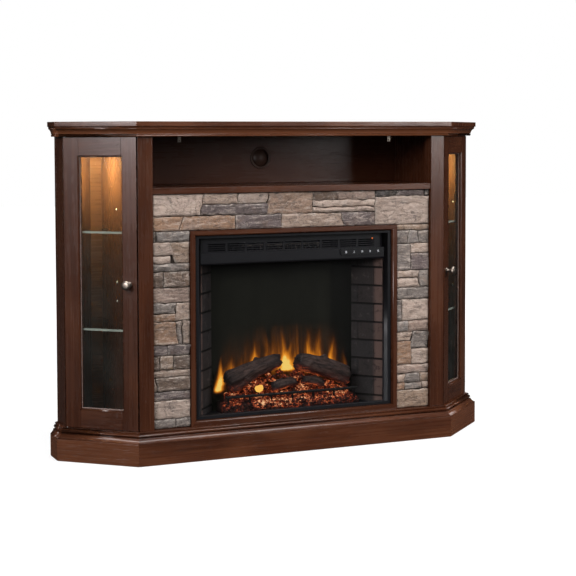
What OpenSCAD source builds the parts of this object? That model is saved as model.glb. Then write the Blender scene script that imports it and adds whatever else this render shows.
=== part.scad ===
// Corner media fireplace: a five-sided console with two glass-door cabinets,
// a media shelf, a stone surround and an electric firebox.
// X runs along the front, +Y to the back, +Z up. The origin is on the floor,
// at the centre of the overall width and depth.

/* [Overall] */
// Width over the plinth
overall_w = 1327; // [1260:1:1400]
// Height to the top surface
overall_h = 930; // [900:1:980]
// Depth of the body behind its front face
body_d = 372; // [350:1:400]
// Width of each angled door face, seen from the front
wing_w = 164.5; // [158:0.5:172]
// Angle between the front face and each door face, in degrees
door_angle = 42.5; // [40:0.5:45]
// Depth of the short side behind each door face
return_d = 90; // [75:1:110]

/* [Top and crown] */
// Thickness of the top panel
top_t = 18; // [16:0.5:22]
// Height of the flat band along the top panel's edge
band_h = 13.5; // [11:0.5:15]
// Overhang of the top panel
top_over = 26.5; // [24:0.5:30]
// Depth of the rebate under the flat band
band_rebate = 4; // [2:0.5:6]
// Height of the crown moulding
crown_h = 23; // [20:0.5:28]
// Radius of the crown moulding's cove
cove_r = 16; // [14:0.5:24]
// Radius of the bead at the crown moulding's foot
foot_bead_r = 3; // [2:0.25:4]
// Overhang of the crown moulding's foot
foot_over = 12.5; // [10:0.5:14]

/* [Plinth] */
// Height of the plinth boards
plinth_h = 61; // [50:1:80]
// Overhang of the plinth boards
plinth_over = 28; // [24:0.5:34]
// Thickness of the plinth boards
plinth_t = 16; // [12:0.5:18]
// Height of the moulding on the plinth
cap_h = 29; // [26:0.5:34]
// Radius of the large bead on the plinth moulding
cap_bead_r = 4; // [3:0.25:5]
// Radius of the small bead at the plinth moulding's top
cap_top_r = 2; // [1.5:0.25:2.5]
// Overhang of the plinth moulding's top
cap_over = 10; // [8:0.5:12]
// Thickness of the bearers under the deck
bearer_t = 18; // [15:1:22]

/* [Panels] */
// Thickness of the deck
deck_t = 16; // [12:1:18]
// Thickness of the side panels
side_t = 16; // [12:1:18]
// Thickness of the partitions
partition_t = 14; // [12:1:16]
// Thickness of the rear corner panels and the rear frame
rear_t = 12; // [9:1:16]
// Width of a rear frame rail
rear_rail_h = 40; // [30:1:50]
// Thickness of the head rails
head_t = 20; // [16:1:22]

/* [Posts] */
// Width of a front post
post_w = 43; // [38:1:50]
// Depth of a front post
post_d = 40; // [36:1:50]
// Distance from a post's inner face to the partition's inner face
post_inset = 24; // [20:1:26]

/* [Media bay] */
// Clear height under the head rail
bay_h = 139; // [120:1:150]
// Clear depth of the media bay
bay_d = 274; // [240:1:290]
// Thickness of the media shelf
shelf_t = 17; // [15:1:20]
// Setback of the shelf edge from the post faces
shelf_setback = 3; // [1:0.5:5]
// Thickness of the media back panel
back_t = 9; // [6:1:12]
// Diameter of the cable hole
cable_d = 60; // [50:1:66]
// Distance of each top bracket from the centre
bracket_x = 326; // [300:1:350]
// Distance of the top brackets behind the front face
bracket_y = 72; // [60:1:90]
// Drop of the top brackets below the head rail
bracket_drop = 16; // [12:1:20]
// Width of a top bracket
bracket_w = 9; // [8:1:12]

/* [Surround] */
// Width of the stone on each side of the wooden trim
side_stone_w = 109; // [102:1:116]
// Height of the stone over the wooden trim
top_stone_h = 102; // [92:1:112]
// Width of the wooden trim
trim_w = 15.5; // [12:0.5:20]
// Setback of the trim's face
trim_setback = 6; // [4:0.5:9]
// Depth of the trim
trim_d = 24; // [18:1:28]
// Thickness of the board that carries the stones
stone_board_t = 12; // [8:1:16]
// Least height of a stone above its board
stone_low = 6; // [5:0.5:7]
// Extra height of the proudest stone
stone_rise = 4; // [2:0.5:5]
// Width of the joint between stones
stone_joint = 2.5; // [1.5:0.25:4]
// Setback of the stone board's face
stone_setback = 18; // [16:0.5:20]

/* [Doors] */
// Thickness of a door
door_t = 20; // [18:1:22]
// Gap between a door and the post
door_gap_post = 4; // [3:0.5:5]
// Gap between a door's hinged edge and the corner
door_gap_side = 1.5; // [1.25:0.25:2.5]
// Gap under and over a door
door_gap_z = 1.5; // [1:0.25:2.5]
// Width of the door stiles
stile_w = 45; // [40:1:50]
// Height of the door rails
rail_h = 52; // [45:1:60]
// Depth of the glass behind the door's face
glass_set = 12; // [10:0.5:13]
// Thickness of the door glass
pane_t = 3; // [3:0.5:4]
// Overlap of the glass behind the frame
rebate_w = 8; // [6:0.5:10]
// Diameter of a knob's head
knob_d = 26; // [22:1:30]
// Projection of a knob
knob_len = 29; // [25:1:32]
// Radius of a pivot pin
pin_r = 2.5; // [2:0.25:3]
// Distance of the pivot axis from the door's face and edge
pin_inset = 4; // [4:0.25:5]
// Running clearance of a pivot pin in its socket
pin_clear = 0.06; // [0.02:0.01:0.1]
// Thickness of a pivot plate
plate_t = 2.5; // [2:0.25:3]
// Length of a pivot plate
plate_l = 34; // [28:1:40]
// Width of a pivot plate
plate_w = 14; // [12:1:15]

/* [Cabinets] */
// Drop of the cabinet ceilings below the head rails
ceiling_drop = 51; // [44:1:53]
// Thickness of a cabinet ceiling
ceiling_t = 12; // [9:1:16]
// Thickness of a glass shelf
glass_shelf_t = 6; // [5:0.5:8]
// Gap between a glass shelf and the walls
glass_shelf_gap = 2; // [1:0.5:4]
// Radius of a shelf pin
shelf_pin_r = 2.5; // [2:0.25:3]
// Length of a shelf pin outside the wall
shelf_pin_l = 10; // [8:1:14]
// Radius of a puck lamp's rim
puck_r = 34; // [28:1:36]
// Height of a puck lamp
puck_h = 24; // [20:1:30]

/* [Firebox] */
// Gap between the wooden trim and the face frame
insert_gap = 0.5; // [0.25:0.25:2]
// Width of the face frame's flat flange
flange_w = 11; // [9:0.5:14]
// Width of the bevel inside the flange
bevel_w = 8; // [6:0.5:10]
// Setback of the face frame
frame_setback = 14; // [12:0.5:18]
// Height of the face frame over the opening
frame_top = 7; // [5:0.5:10]
// Depth of the face frame
frame_d = 18; // [14:0.5:22]
// Depth of the housing
housing_d = 232; // [210:1:250]
// Thickness of the housing's sheet
sheet_t = 2; // [1.5:0.25:2.5]
// Thickness of the front glass
front_pane_t = 3; // [3:0.5:4]
// Height of the hood over the glass
hood_h = 75; // [70:1:85]
// Depth of the brick panels, from front to back
brick_d = 74; // [65:1:85]
// Splay of a brick panel, from its front to its rear
brick_splay = 65; // [55:1:75]
// Thickness of a brick panel, measured along the front
brick_t = 9; // [8:0.5:10]
// Height of a brick course
course_h = 54; // [48:0.5:60]
// Width and depth of the mortar groove
mortar = 3; // [2:0.5:4]
// Thickness of the flame screen
screen_t = 3; // [2:0.5:4]
// Distance of the flame rotor's ends inside the brick panels' rear corners
rotor_end = 31; // [21:1:50]
// Radius of the flame rotor's reflectors
rotor_r = 22; // [18:1:24]
// Radius of the blower wheel
wheel_r = 24; // [20:1:26]
// Length of the blower wheel
wheel_l = 250; // [200:1:270]
// Number of blades on the blower wheel
blade_count = 18; // [12:1:24]
// Radius of a push button
button_r = 4.6; // [4:0.1:5]
// Travel of a push button
button_travel = 1.2; // [1:0.1:1.5]
// Distance between push buttons
button_pitch = 25.8; // [22:0.2:27]
// Length of the control strip
strip_l = 138; // [132:1:140]

/* [Fire bed] */
// Distance of the embers' ends inside the brick panels' rear corners
ember_end = 16; // [11:1:30]
// Height of the ember bed
ember_h = 44; // [36:1:50]
// Distance of the logs' low ends inside the embers' ends
log_end = 15; // [5:1:30]
// Mean radius of a log in the pair
log_r = 25; // [20:1:28]

/* [Hidden] */
$fn = 32;
// Reach past a face, so that a cut goes right through
eps = 1;
// Clearance between pieces of one assembly that are slid together
fit = 0.3;
// Hairline between two runs of moulding at a mitre
mitre_gap = 0.1;

// Plan of the body: half widths at the front and the sides, and the corner depths
side_x = overall_w / 2 - plinth_over;
front_x = side_x - wing_w;
face_l = (side_x - front_x) / cos(door_angle);
corner_y = face_l * sin(door_angle);
rear_corner_y = corner_y + return_d;
// x + y is constant along the rear corner panels' outer face
rear_sum = side_x + rear_corner_y;
origin_y = (plinth_over - body_d) / 2;

// Levels
deck_z = plinth_h + cap_h;
head_z = overall_h - top_t - crown_h;
top_z = overall_h - top_t;
shelf_z = head_z - bay_h;
ceiling_z = head_z - ceiling_drop;
stone_top_z = shelf_z - shelf_t;
surround_top_z = stone_top_z - top_stone_h;

// Spans
post_in_x = front_x - post_w;
bay_x = post_in_x + post_inset;
partition_out_x = bay_x + partition_t;
rear_y = body_d - rear_t;
trim_out_x = post_in_x - side_stone_w;

// Doors
door_z0 = deck_z + door_gap_z;
door_z1 = head_z - door_gap_z;
door_u1 = face_l - door_gap_side;
door_back = door_t + 3;
pin_u = face_l - pin_inset;
// The side panel's front edge stands clear of the door's corner as it swings
edge_u = face_l + 1.2;
socket_t = 4;
pane_u0 = door_gap_post + stile_w;
pane_u1 = door_u1 - stile_w;
pane_z0 = door_z0 + rail_h;
pane_z1 = door_z1 - rail_h;
knob_u = door_gap_post + stile_w / 2;
knob_z = (door_z0 + door_z1) / 2;

// Cabinets: two glass shelves split the height in three
cab_h = ceiling_z - deck_z;
shelf_levels = [deck_z + cab_h * 0.365, deck_z + cab_h * 0.723];
pin_levels = [for (z = shelf_levels) z - glass_shelf_t - shelf_pin_r];
pin_depth = 7;
// Drop of the door catches below the upper glass shelf
catch_drop = 51;
// Depths of the shelf pins in the partitions and the side panels
pin_ys = [post_d + 60, rear_y - 50];
side_pin_ys = [corner_y + 38, rear_corner_y - 22];
puck_x = (partition_out_x + side_x - side_t) / 2;
puck_y = corner_y + 70;

// Firebox levels and spans
insert_x = trim_out_x - trim_w - insert_gap;
insert_z0 = deck_z + trim_w + insert_gap;
insert_z1 = surround_top_z - trim_w - insert_gap;
inner_x = insert_x - flange_w - bevel_w;
frame_back_y = frame_setback + frame_d;
housing_x = insert_x - 5;
housing_y1 = frame_back_y + housing_d;
floor_z = insert_z0 + sheet_t;
roof_z = insert_z1 - sheet_t;
hood_z = insert_z1 - frame_top - hood_h;
pane_y1 = frame_back_y + front_pane_t;
brick_y = pane_y1 + eps;
screen_y = brick_y + brick_d;
screen_x = inner_x + 2 - brick_splay;
rotor_l = screen_x - rotor_end;
ember_w = screen_x - ember_end;
log_l = ember_w - log_end;
// Nine grille slots share the hood's width
slot_pitch = (inner_x - 23) / 4.5;
upper_z = hood_z + sheet_t;
nose_y = frame_setback + 8;
nose_z0 = hood_z;
nose_z1 = hood_z + 33;
grille_z1 = nose_z1 + 32;
grille_y = nose_y + 12;
strip_z = nose_z1 - 10;
strip_h = 17.5;
strip_t = 3;
strip_x = inner_x - 4 - strip_l / 2;
board_y = grille_y - sheet_t;
rotor_y = screen_y + screen_t + rotor_r + 12;
rotor_z = floor_z + rotor_r + 36;
wheel_y = grille_y + wheel_r + 50;
wheel_z = upper_z + wheel_r + 10;
log_y = brick_y + brick_d / 2;
log_z = floor_z + ember_h + log_r * 1.3 + 7;
gland_x = housing_x - 40;
gland_z = floor_z + 40;
gland_r = 8;

function unit(v) = v / norm(v);
// A repeatable value from 0 to 1 that varies from one index to the next
function scatter(i) = let(s = sin(i * 127.1 + 31.7) * 43.7) s - floor(s);
// Centre of an arc of radius r from a to b, on the right of the way from a to b
function arc_centre(a, b, r) =
    let(d = b - a, h = sqrt(max(r * r - d * d / 4, 0)))
    (a + b) / 2 + h * unit([d.y, -d.x]);

// Half of the plan on the right, moved out by o, from the front corner to the rear
function half_plan(o) = [
    [front_x + o * tan(door_angle / 2), -o],
    [side_x + o, corner_y - o * tan(45 - door_angle / 2)],
    [side_x + o, rear_corner_y - o],
    [rear_sum - body_d, body_d]];
function mirrored(p) = [for (i = [len(p) - 1:-1:0]) [-p[i].x, p[i].y]];
function plan(o) = concat(half_plan(o), mirrored(half_plan(o)));
// Point on the right door face, u along it from the post and v inwards
function face_pt(u, v) = [
    front_x + u * cos(door_angle) - v * sin(door_angle),
    u * sin(door_angle) + v * cos(door_angle)];
// Point at x on the line that lies v inside the door face
function along_face(x, v) = [x, (v + (x - front_x) * sin(door_angle)) / cos(door_angle)];
// Point at x on the line square to the door face at u
function across_face(x, u) = [x,
    (u + (front_x - x) * cos(door_angle)) / sin(door_angle)];
// Inside of the right cabinet behind the line v, o clear of its walls
function cabinet_plan(v, o) =
    let(xi = partition_out_x + o, xo = side_x - side_t - o,
        s = rear_sum - (rear_t + o) * sqrt(2), yb = rear_y - o)
    [along_face(xi, v), along_face(xo, v), [xo, s - xo], [s - yb, yb], [xi, yb]];

module placed() translate([0, origin_y, 0]) children();
module both() {
    children();
    mirror([1, 0, 0]) children();
}
// Frame of the right door: X along the face, Y inwards, Z up
module at_face() translate([front_x, 0, 0]) rotate([0, 0, door_angle]) children();
// A block from two corners
module block(a, b) translate(a) cube(b - a);
// A block centred on x
module bar_x(x, w, y0, y1, z0, z1) block([x - w / 2, y0, z0], [x + w / 2, y1, z1]);
// Rods along each axis
module rod_x(r, a, b) translate([a, 0, 0]) rotate([0, 90, 0]) cylinder(r = r, h = b - a);
module rod_y(r, a, b) translate([0, a, 0]) rotate([-90, 0, 0]) cylinder(r = r, h = b - a);
module rod_z(r, a, b) translate([0, 0, a]) cylinder(r = r, h = b - a);
// A profile in the YZ plane, drawn out along X
module along_x(a, b) translate([a, 0, 0]) rotate([90, 0, 90]) linear_extrude(b - a) children();
// A plan shape from z0 to z1
module slab(z0, z1, points) translate([0, 0, z0]) linear_extrude(z1 - z0) polygon(points);

// A moulding along the five front faces, mitred at each corner.
// The profile's X is the distance out of the body and its Y is height.
module mitred_run(z, h, reach) {
    near = plan(0);
    far = plan(reach);
    // From the left rear round the front to the right rear
    order = [5, 6, 7, 0, 1, 2];
    for (k = [0:4]) {
        a = near[order[k]];
        b = near[order[k + 1]];
        run = norm(b - a) + reach * 4;
        cut = unit(b - a) * mitre_gap / 2;
        intersection() {
            slab(z - eps, z + h + eps, [a + cut, far[order[k]] + cut,
                far[order[k + 1]] - cut, b - cut]);
            translate([a.x, a.y, z]) rotate([0, 0, atan2(b.y - a.y, b.x - a.x)])
                translate([-reach * 2, 0, 0]) mirror([0, 1, 0]) along_x(0, run) children();
        }
    }
}

// A rectangular frame in the XZ plane from four mitred bars.
// The profile's X is depth along +Y and its Y is the distance in from the outside.
module mitred_frame(w, h, bar, y0, y1, gap = 0) {
    module member(l) intersection() {
        along_x(0, l) children();
        translate([0, y1, 0]) rotate([90, 0, 0]) linear_extrude(y1 - y0)
            polygon([[gap, 0], [l - gap, 0], [l - bar - gap, bar], [bar + gap, bar]]);
    }
    translate([-w / 2, 0, 0]) member(w) children();
    translate([w / 2, 0, h]) rotate([0, 180, 0]) member(w) children();
    translate([-w / 2, 0, h]) rotate([0, 90, 0]) member(h) children();
    translate([w / 2, 0, 0]) rotate([0, -90, 0]) member(h) children();
}

// ---- Top ----
module top_panel() color("#3f241c") placed() {
    slab(overall_h - band_h, overall_h, plan(top_over));
    slab(top_z, overall_h - band_h, plan(top_over - band_rebate));
}

// Foot bead, step, cove and upper edge
module crown_profile() {
    neck = foot_over - foot_bead_r;
    low = [foot_over, 2 * foot_bead_r + 1.5];
    high = [top_over - band_rebate, crown_h - 1.5];
    difference() {
        polygon([[0, 0], [neck, 0], [neck, low.y - 1], [low.x, low.y - 1], low, high,
            [high.x, crown_h], [0, crown_h]]);
        translate(arc_centre(low, high, cove_r)) circle(r = cove_r, $fn = 48);
    }
    translate([neck, foot_bead_r]) circle(r = foot_bead_r);
}
module crown_moulding() color("#44261d") placed()
    mitred_run(head_z, crown_h, top_over + 4) crown_profile();

// Rails behind the crown moulding, over the media bay and over each door
module head_rails() color("#3a211a") placed() {
    block([-post_in_x, 0, head_z], [post_in_x, head_t, top_z]);
    both() difference() {
        intersection() {
            slab(head_z, top_z, [face_pt(0, 0), face_pt(edge_u, 0), face_pt(edge_u, head_t),
                face_pt(0, head_t)]);
            slab(head_z - eps, top_z + eps, plan(0));
        }
        at_face() socket_shape(head_z - eps, head_z + socket_t);
    }
}

// ---- Plinth and deck ----
module plinth_boards() color("#3f241c") placed() {
    mitred_run(0, plinth_h, plinth_over + 4)
        translate([plinth_over - plinth_t, 0]) square([plinth_t, plinth_h]);
    under = deck_z - deck_t;
    // Bearers that carry the deck, and the rear board
    for (x = [-1:1]) bar_x(x * front_x * 0.6, bearer_t, 0, rear_y, 0, under);
    both() bar_x(side_x - 80, bearer_t, along_face(side_x - 80, 10).y, rear_corner_y, 0, under);
    block([-front_x, rear_y, 0], [front_x, body_d, under]);
}

// Lip, cove, large bead and small top bead
module cap_profile() {
    neck = cap_over - cap_top_r;
    bead_y = cap_h - 2 * cap_top_r - 2 - cap_bead_r;
    low = [plinth_over - 2, 3];
    high = [neck + 2 * cap_bead_r, bead_y - cap_bead_r - 2];
    difference() {
        polygon([[0, 0], [plinth_over, 0], [plinth_over, 2], low, high, [neck, high.y],
            [neck, cap_h], [0, cap_h]]);
        translate(arc_centre(low, high, cove_r)) circle(r = cove_r, $fn = 48);
    }
    translate([neck + 2.5, bead_y]) circle(r = cap_bead_r);
    translate([neck, cap_h - cap_top_r]) circle(r = cap_top_r);
}
module plinth_moulding() color("#44261d") placed()
    mitred_run(plinth_h, cap_h, plinth_over + 4) cap_profile();

module bottom_deck() color("#3a211a") placed() difference() {
    slab(deck_z - deck_t, deck_z, plan(0));
    both() at_face() socket_shape(deck_z - socket_t, deck_z + eps);
}

// ---- Carcase ----
module front_posts() color("#43251c") placed() both()
    slab(deck_z, top_z, [[post_in_x, 0], [front_x, 0], face_pt(0, door_back),
        along_face(partition_out_x, door_back), [partition_out_x, post_d],
        [post_in_x, post_d]]);

module partitions() color("#3a211a") placed() both() difference() {
    block([bay_x, post_d, deck_z], [partition_out_x, rear_y, top_z]);
    for (z = pin_levels, y = pin_ys) translate([0, y, z])
        rod_x(shelf_pin_r + 0.05, partition_out_x - pin_depth, partition_out_x + eps);
}

module side_panels() color("#43251c") placed() both() difference() {
    inner = side_x - side_t;
    slab(deck_z, top_z, [across_face(side_x, edge_u), across_face(inner, edge_u),
        [inner, rear_sum - rear_t * sqrt(2) - inner],
        [side_x, rear_sum - rear_t * sqrt(2) - side_x]]);
    for (z = pin_levels, y = side_pin_ys) translate([0, y, z])
        rod_x(shelf_pin_r + 0.05, inner - eps, inner + pin_depth);
}

module rear_corner_panels() color("#3a211a") placed() both() {
    inner = rear_sum - rear_t * sqrt(2);
    slab(deck_z, top_z, [[side_x, rear_corner_y], [rear_sum - rear_y, rear_y],
        [inner - rear_y, rear_y], [side_x, inner - side_x]]);
}

module rear_frame() color("#3a211a") placed() {
    both() slab(deck_z, top_z, [[bay_x, rear_y], [rear_sum - rear_y, rear_y],
        [rear_sum - body_d, body_d], [bay_x, body_d]]);
    for (z = [top_z, stone_top_z])
        bar_x(0, 2 * (bay_x + eps), rear_y, body_d, z - rear_rail_h, z);
}

// Ceilings with a round hole for each lamp
module cabinet_ceilings() color("#3a211a") placed() both() difference() {
    slab(ceiling_z, ceiling_z + ceiling_t, cabinet_plan(door_back, 0));
    translate([puck_x, puck_y, 0]) rod_z(puck_r - 4, ceiling_z - eps, ceiling_z + ceiling_t + eps);
}

module media_back_panel() color("#3a211a") placed() difference() {
    bar_x(0, bay_x * 2, bay_d, bay_d + back_t, shelf_z, top_z);
    translate([0, 0, (shelf_z + head_z) / 2 + 5])
        rod_y(cable_d / 2, bay_d - eps, bay_d + back_t + eps);
}

module media_shelf() color("#3a211a") placed()
    slab(shelf_z - shelf_t, shelf_z, [[-post_in_x, shelf_setback], [post_in_x, shelf_setback],
        [post_in_x, post_d], [bay_x, post_d], [bay_x, bay_d + back_t],
        [-bay_x, bay_d + back_t], [-bay_x, post_d], [-post_in_x, post_d]]);

// Angle brackets that hold the top down in the middle of its width
module top_brackets() color("#c9c4b8") placed() both() translate([bracket_x, bracket_y, 0])
    difference() {
        leg = 2.5;
        union() {
            bar_x(0, bracket_w, 0, leg, head_z - bracket_drop, top_z);
            bar_x(0, bracket_w, 0, 30, top_z - leg, top_z);
        }
        translate([0, 20, 0]) rod_z(2, top_z - leg - eps, top_z + eps);
        translate([0, 0, head_z - bracket_drop + 5]) rod_y(2, -eps, leg + eps);
    }

// ---- Surround ----
module firebox_trim() color("#4a2a20") placed() translate([0, 0, deck_z])
    mitred_frame(2 * trim_out_x, surround_top_z - deck_z, trim_w, trim_setback,
        trim_setback + trim_d, mitre_gap / 2) difference() {
            r = 4;
            translate([trim_setback, 0]) square([trim_d, trim_w]);
            // Rounded inner edge
            translate([trim_setback - eps, trim_w - r]) difference() {
                square([r + eps, r + eps]);
                translate([r + eps, 0]) circle(r = r);
            }
        }

// Courses of stone from the top down. A number is one stone's height, or its width
// inside a course, and [size, [...]] is divided again, the other way.
left_courses = [[29, [12, 97]], [58, [[55, [38, 22]], 54]], 23, [43, [33, 76]], 42,
    [50, [[67, [29, 22]], 42]], [65, [70, 16, 23]], [29, [44, 65]], [39, [20, 37, 46]], 20,
    [38, [8, 101]], 26, 50, [26, [66, 43]]];
right_courses = [18, [39, [40, 33, 36]], [79, [48, [61, [27, 52]]]], [50, [[75, [22, 28]], 34]],
    35, [63, [20, 89]], [33, [40, 69]], [96, [[52, [27, 69]], [57, [50, 46]]]], 27,
    [27, [30, 50, 29]], [21, [30, 55, 24]], 53];
// The band over the firebox, from left to right
top_courses = [
    [678, [
        [62, [146, [197, [[30, [106, 91]], 30]], 137, [198, [[28, [76, 122]], 20, 17]]]],
        [40, [85, 159, 140, 189, 105]]]],
    [178, [[19, [70, 91, 17]], 83]]];

function weight(s) = is_num(s) ? s : s[0];
function weight_before(list, n) = n == 0 ? 0 : weight(list[n - 1]) + weight_before(list, n - 1);
// Rectangles [x, z, width, height] of the stones
function lay(list, x, z, w, h, across) = [for (i = [0:len(list) - 1])
    let(all = weight_before(list, len(list)), a = weight_before(list, i) / all,
        b = weight(list[i]) / all,
        r = across ? [x + a * w, z, b * w, h] : [x, z + h * (1 - a - b), w, b * h])
    each is_num(list[i]) ? [r] : lay(list[i][1], r[0], r[1], r[2], r[3], !across)];

// A split stone: bevelled edges and four faces that rise to an off-centre peak
module stone(r, i) {
    rise = stone_low + stone_rise * scatter(i);
    function corner(k, inset) = let(e = stone_joint / 2 + inset, j = 1.2,
        x = k == 1 || k == 2 ? r[0] + r[2] - e : r[0] + e,
        z = k >= 2 ? r[1] + r[3] - e : r[1] + e)
        [x + j * (scatter(i * 7 + k) - 0.5), z + j * (scatter(i * 11 + k) - 0.5)];
    function ring(inset, out) = [for (k = [0:3]) let(c = corner(k, inset))
        [c.x, stone_setback - out, c.y]];
    peak = [r[0] + r[2] * (0.3 + 0.4 * scatter(i * 3)), stone_setback - rise - 1,
        r[1] + r[3] * (0.3 + 0.4 * scatter(i * 5))];
    polyhedron(concat(ring(0, -eps), ring(0, rise - 2), ring(2, rise), [peak]),
        concat([[0, 1, 2], [0, 2, 3]],
            [for (s = [0, 4], k = [0:3]) let(m = (k + 1) % 4) [s + 4 + k, s + 4 + m, s + m]],
            [for (s = [0, 4], k = [0:3]) let(m = (k + 1) % 4) [s + 4 + k, s + m, s + k]],
            [for (k = [0:3]) [12, 8 + (k + 1) % 4, 8 + k]]));
}
module stone_panel(x0, x1, z0, z1, courses, across, seed) {
    block([x0, stone_setback, z0], [x1, stone_setback + stone_board_t, z1]);
    stones = lay(courses, x0, z0, x1 - x0, z1 - z0, across);
    for (i = [0:len(stones) - 1]) stone(stones[i], i + seed);
}
module left_stone_panel() color("#a5937e") placed()
    stone_panel(-post_in_x, -trim_out_x, deck_z, surround_top_z, left_courses, false, 0);
module right_stone_panel() color("#a5937e") placed()
    stone_panel(trim_out_x, post_in_x, deck_z, surround_top_z, right_courses, false, 100);
module top_stone_panel() color("#9c8d7b") placed()
    stone_panel(-post_in_x, post_in_x, surround_top_z, stone_top_z, top_courses, true, 200);

// ---- Doors, drawn on the right and mirrored to the left ----
module pane_opening(grow, v0, v1) block([pane_u0 - grow, v0, pane_z0 - grow],
    [pane_u1 + grow, v1, pane_z1 + grow]);
// Outline of a pivot's socket plate, let into the deck and the head rail
module socket_shape(z0, z1) block([pin_u - 22, 0.5, z0], [pin_u + 3.5, 0.5 + plate_w, z1]);
module pivot_shape(z0, z1) block([pin_u + 2 - plate_l, 1, z0], [pin_u + 2, 1 + plate_w, z1]);

module door_frame() color("#4a2a21") placed() at_face() difference() {
    chamfer = 3;
    block([door_gap_post, 0, door_z0], [door_u1, door_t, door_z1]);
    pane_opening(0, -eps, door_t + eps);
    pane_opening(rebate_w, glass_set, door_t + eps);
    // Chamfer round the opening
    translate([(pane_u0 + pane_u1) / 2, 0, pane_z0 - chamfer])
        mitred_frame(pane_u1 - pane_u0 + 2 * chamfer, pane_z1 - pane_z0 + 2 * chamfer,
            chamfer + eps, -eps, chamfer) polygon([[-eps, 0], [0, 0], [chamfer, chamfer],
            [chamfer, chamfer + eps], [-eps, chamfer + eps]]);
    pivot_shape(door_z0 - eps, door_z0 + plate_t);
    pivot_shape(door_z1 - plate_t, door_z1 + eps);
    translate([knob_u, 0, knob_z]) rod_y(2.2, -eps, door_t + eps);
}
module door_glass() color("#c9d6d2", 0.35) placed() at_face()
    pane_opening(rebate_w - fit, glass_set, glass_set + pane_t);
module glazing_strips() color("#4a2a21") placed() at_face() difference() {
    pane_opening(rebate_w - fit, glass_set + pane_t, door_t);
    pane_opening(0, glass_set, door_t + eps);
}
// A turned knob with its screw through the stile
module knob() color("#b9b3a8") placed() at_face() translate([knob_u, 0, knob_z])
    rotate([90, 0, 0]) {
        edge = 7;
        rotate_extrude($fn = 48) difference() {
            union() {
                square([8, 3]);
                square([5, knob_len - edge]);
                translate([0, knob_len - 2 * edge]) square([knob_d / 2 - edge, 2 * edge]);
                translate([knob_d / 2 - edge, knob_len - edge]) circle(r = edge);
            }
            translate([-knob_d, 0]) square([knob_d, knob_len]);
        }
        rod_z(2, -door_t, eps);
        rod_z(4.5, -door_t - 2, -door_t);
    }
module pivots() color("#8d8a86") placed() at_face() {
    difference() {
        pivot_shape(door_z0, door_z0 + plate_t);
        for (d = [12, 24]) translate([pin_u - d, 1 + plate_w / 2, 0])
            rod_z(1.8, door_z0 - eps, door_z0 + plate_t + eps);
    }
    difference() {
        pivot_shape(door_z1 - plate_t, door_z1);
        for (d = [12, 24]) translate([pin_u - d, 1 + plate_w / 2, 0])
            rod_z(1.8, door_z1 - plate_t - eps, door_z1 + eps);
    }
    translate([pin_u, pin_inset, 0]) {
        rod_z(pin_r, deck_z - socket_t + 0.5, door_z0 + 1);
        rod_z(pin_r, door_z1 - 1, head_z + socket_t - 0.5);
    }
}
// Fixed plates that the pivot pins turn in
module pivot_sockets() color("#8d8a86") placed() both() at_face()
    for (z = [deck_z - socket_t, head_z]) difference() {
        socket_shape(z, z + socket_t);
        translate([pin_u, pin_inset, 0]) rod_z(pin_r + pin_clear, z - eps, z + socket_t + eps);
        translate([pin_u - 14, 0.5 + plate_w / 2, 0]) rod_z(1.8, z - eps, z + socket_t + eps);
    }
module left_door_frame() mirror([1, 0, 0]) door_frame();
module left_door_glass() mirror([1, 0, 0]) door_glass();
module left_glazing_strips() mirror([1, 0, 0]) glazing_strips();
module left_knob() mirror([1, 0, 0]) knob();
module left_pivots() mirror([1, 0, 0]) pivots();
module right_door_frame() door_frame();
module right_door_glass() door_glass();
module right_glazing_strips() glazing_strips();
module right_knob() knob();
module right_pivots() pivots();

// Magnetic catches on the partitions, one behind each door's free edge
module door_catches() color("#5b4a41") placed() both() {
    v = door_t + fit;
    z = shelf_levels[1] - catch_drop;
    slab(z - 12, z + 12, [along_face(partition_out_x, v),
        along_face(partition_out_x + 12, v), [partition_out_x + 12, 60], [partition_out_x, 60]]);
}

// ---- Cabinet fittings ----
module glass_shelves() color("#bcd0c6", 0.35) placed() both()
    for (z = shelf_levels) slab(z - glass_shelf_t, z, cabinet_plan(26, glass_shelf_gap));
module shelf_pins() color("#b9b3a8") placed() both() for (z = pin_levels) {
    for (y = pin_ys) translate([0, y, z])
        rod_x(shelf_pin_r, partition_out_x - pin_depth + 0.5, partition_out_x + shelf_pin_l);
    for (y = side_pin_ys) translate([0, y, z])
        rod_x(shelf_pin_r, side_x - side_t - shelf_pin_l, side_x - side_t + pin_depth - 0.5);
}
module puck_lamps() color("#d8d4cc") placed() both() translate([puck_x, puck_y, 0]) {
    rod_z(puck_r - 4 - fit, ceiling_z - eps, ceiling_z - 3 + puck_h);
    difference() {
        rod_z(puck_r, ceiling_z - 3, ceiling_z);
        rod_z(puck_r - 9, ceiling_z - 4, ceiling_z - 1.5);
    }
}

// ---- Firebox ----
module insert_runners() color("#3a211a") placed() both()
    bar_x(housing_x * 0.75, 40, frame_back_y + 10, housing_y1, deck_z, insert_z0);

module insert_housing() color("#26262a") placed() difference() {
    block([-housing_x, frame_back_y, insert_z0], [housing_x, housing_y1, insert_z1]);
    block([-housing_x + sheet_t, frame_back_y - eps, floor_z],
        [housing_x - sheet_t, housing_y1 - sheet_t, roof_z]);
    // Air slots in the rear wall
    for (i = [-5:5], z = [0, 16, 32])
        bar_x(i * 40, 30, housing_y1 - sheet_t - eps, housing_y1 + eps,
            hood_z + 20 + z, hood_z + 26 + z);
    translate([gland_x, 0, gland_z]) rod_y(gland_r, housing_y1 - sheet_t - eps, housing_y1 + eps);
}
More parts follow.
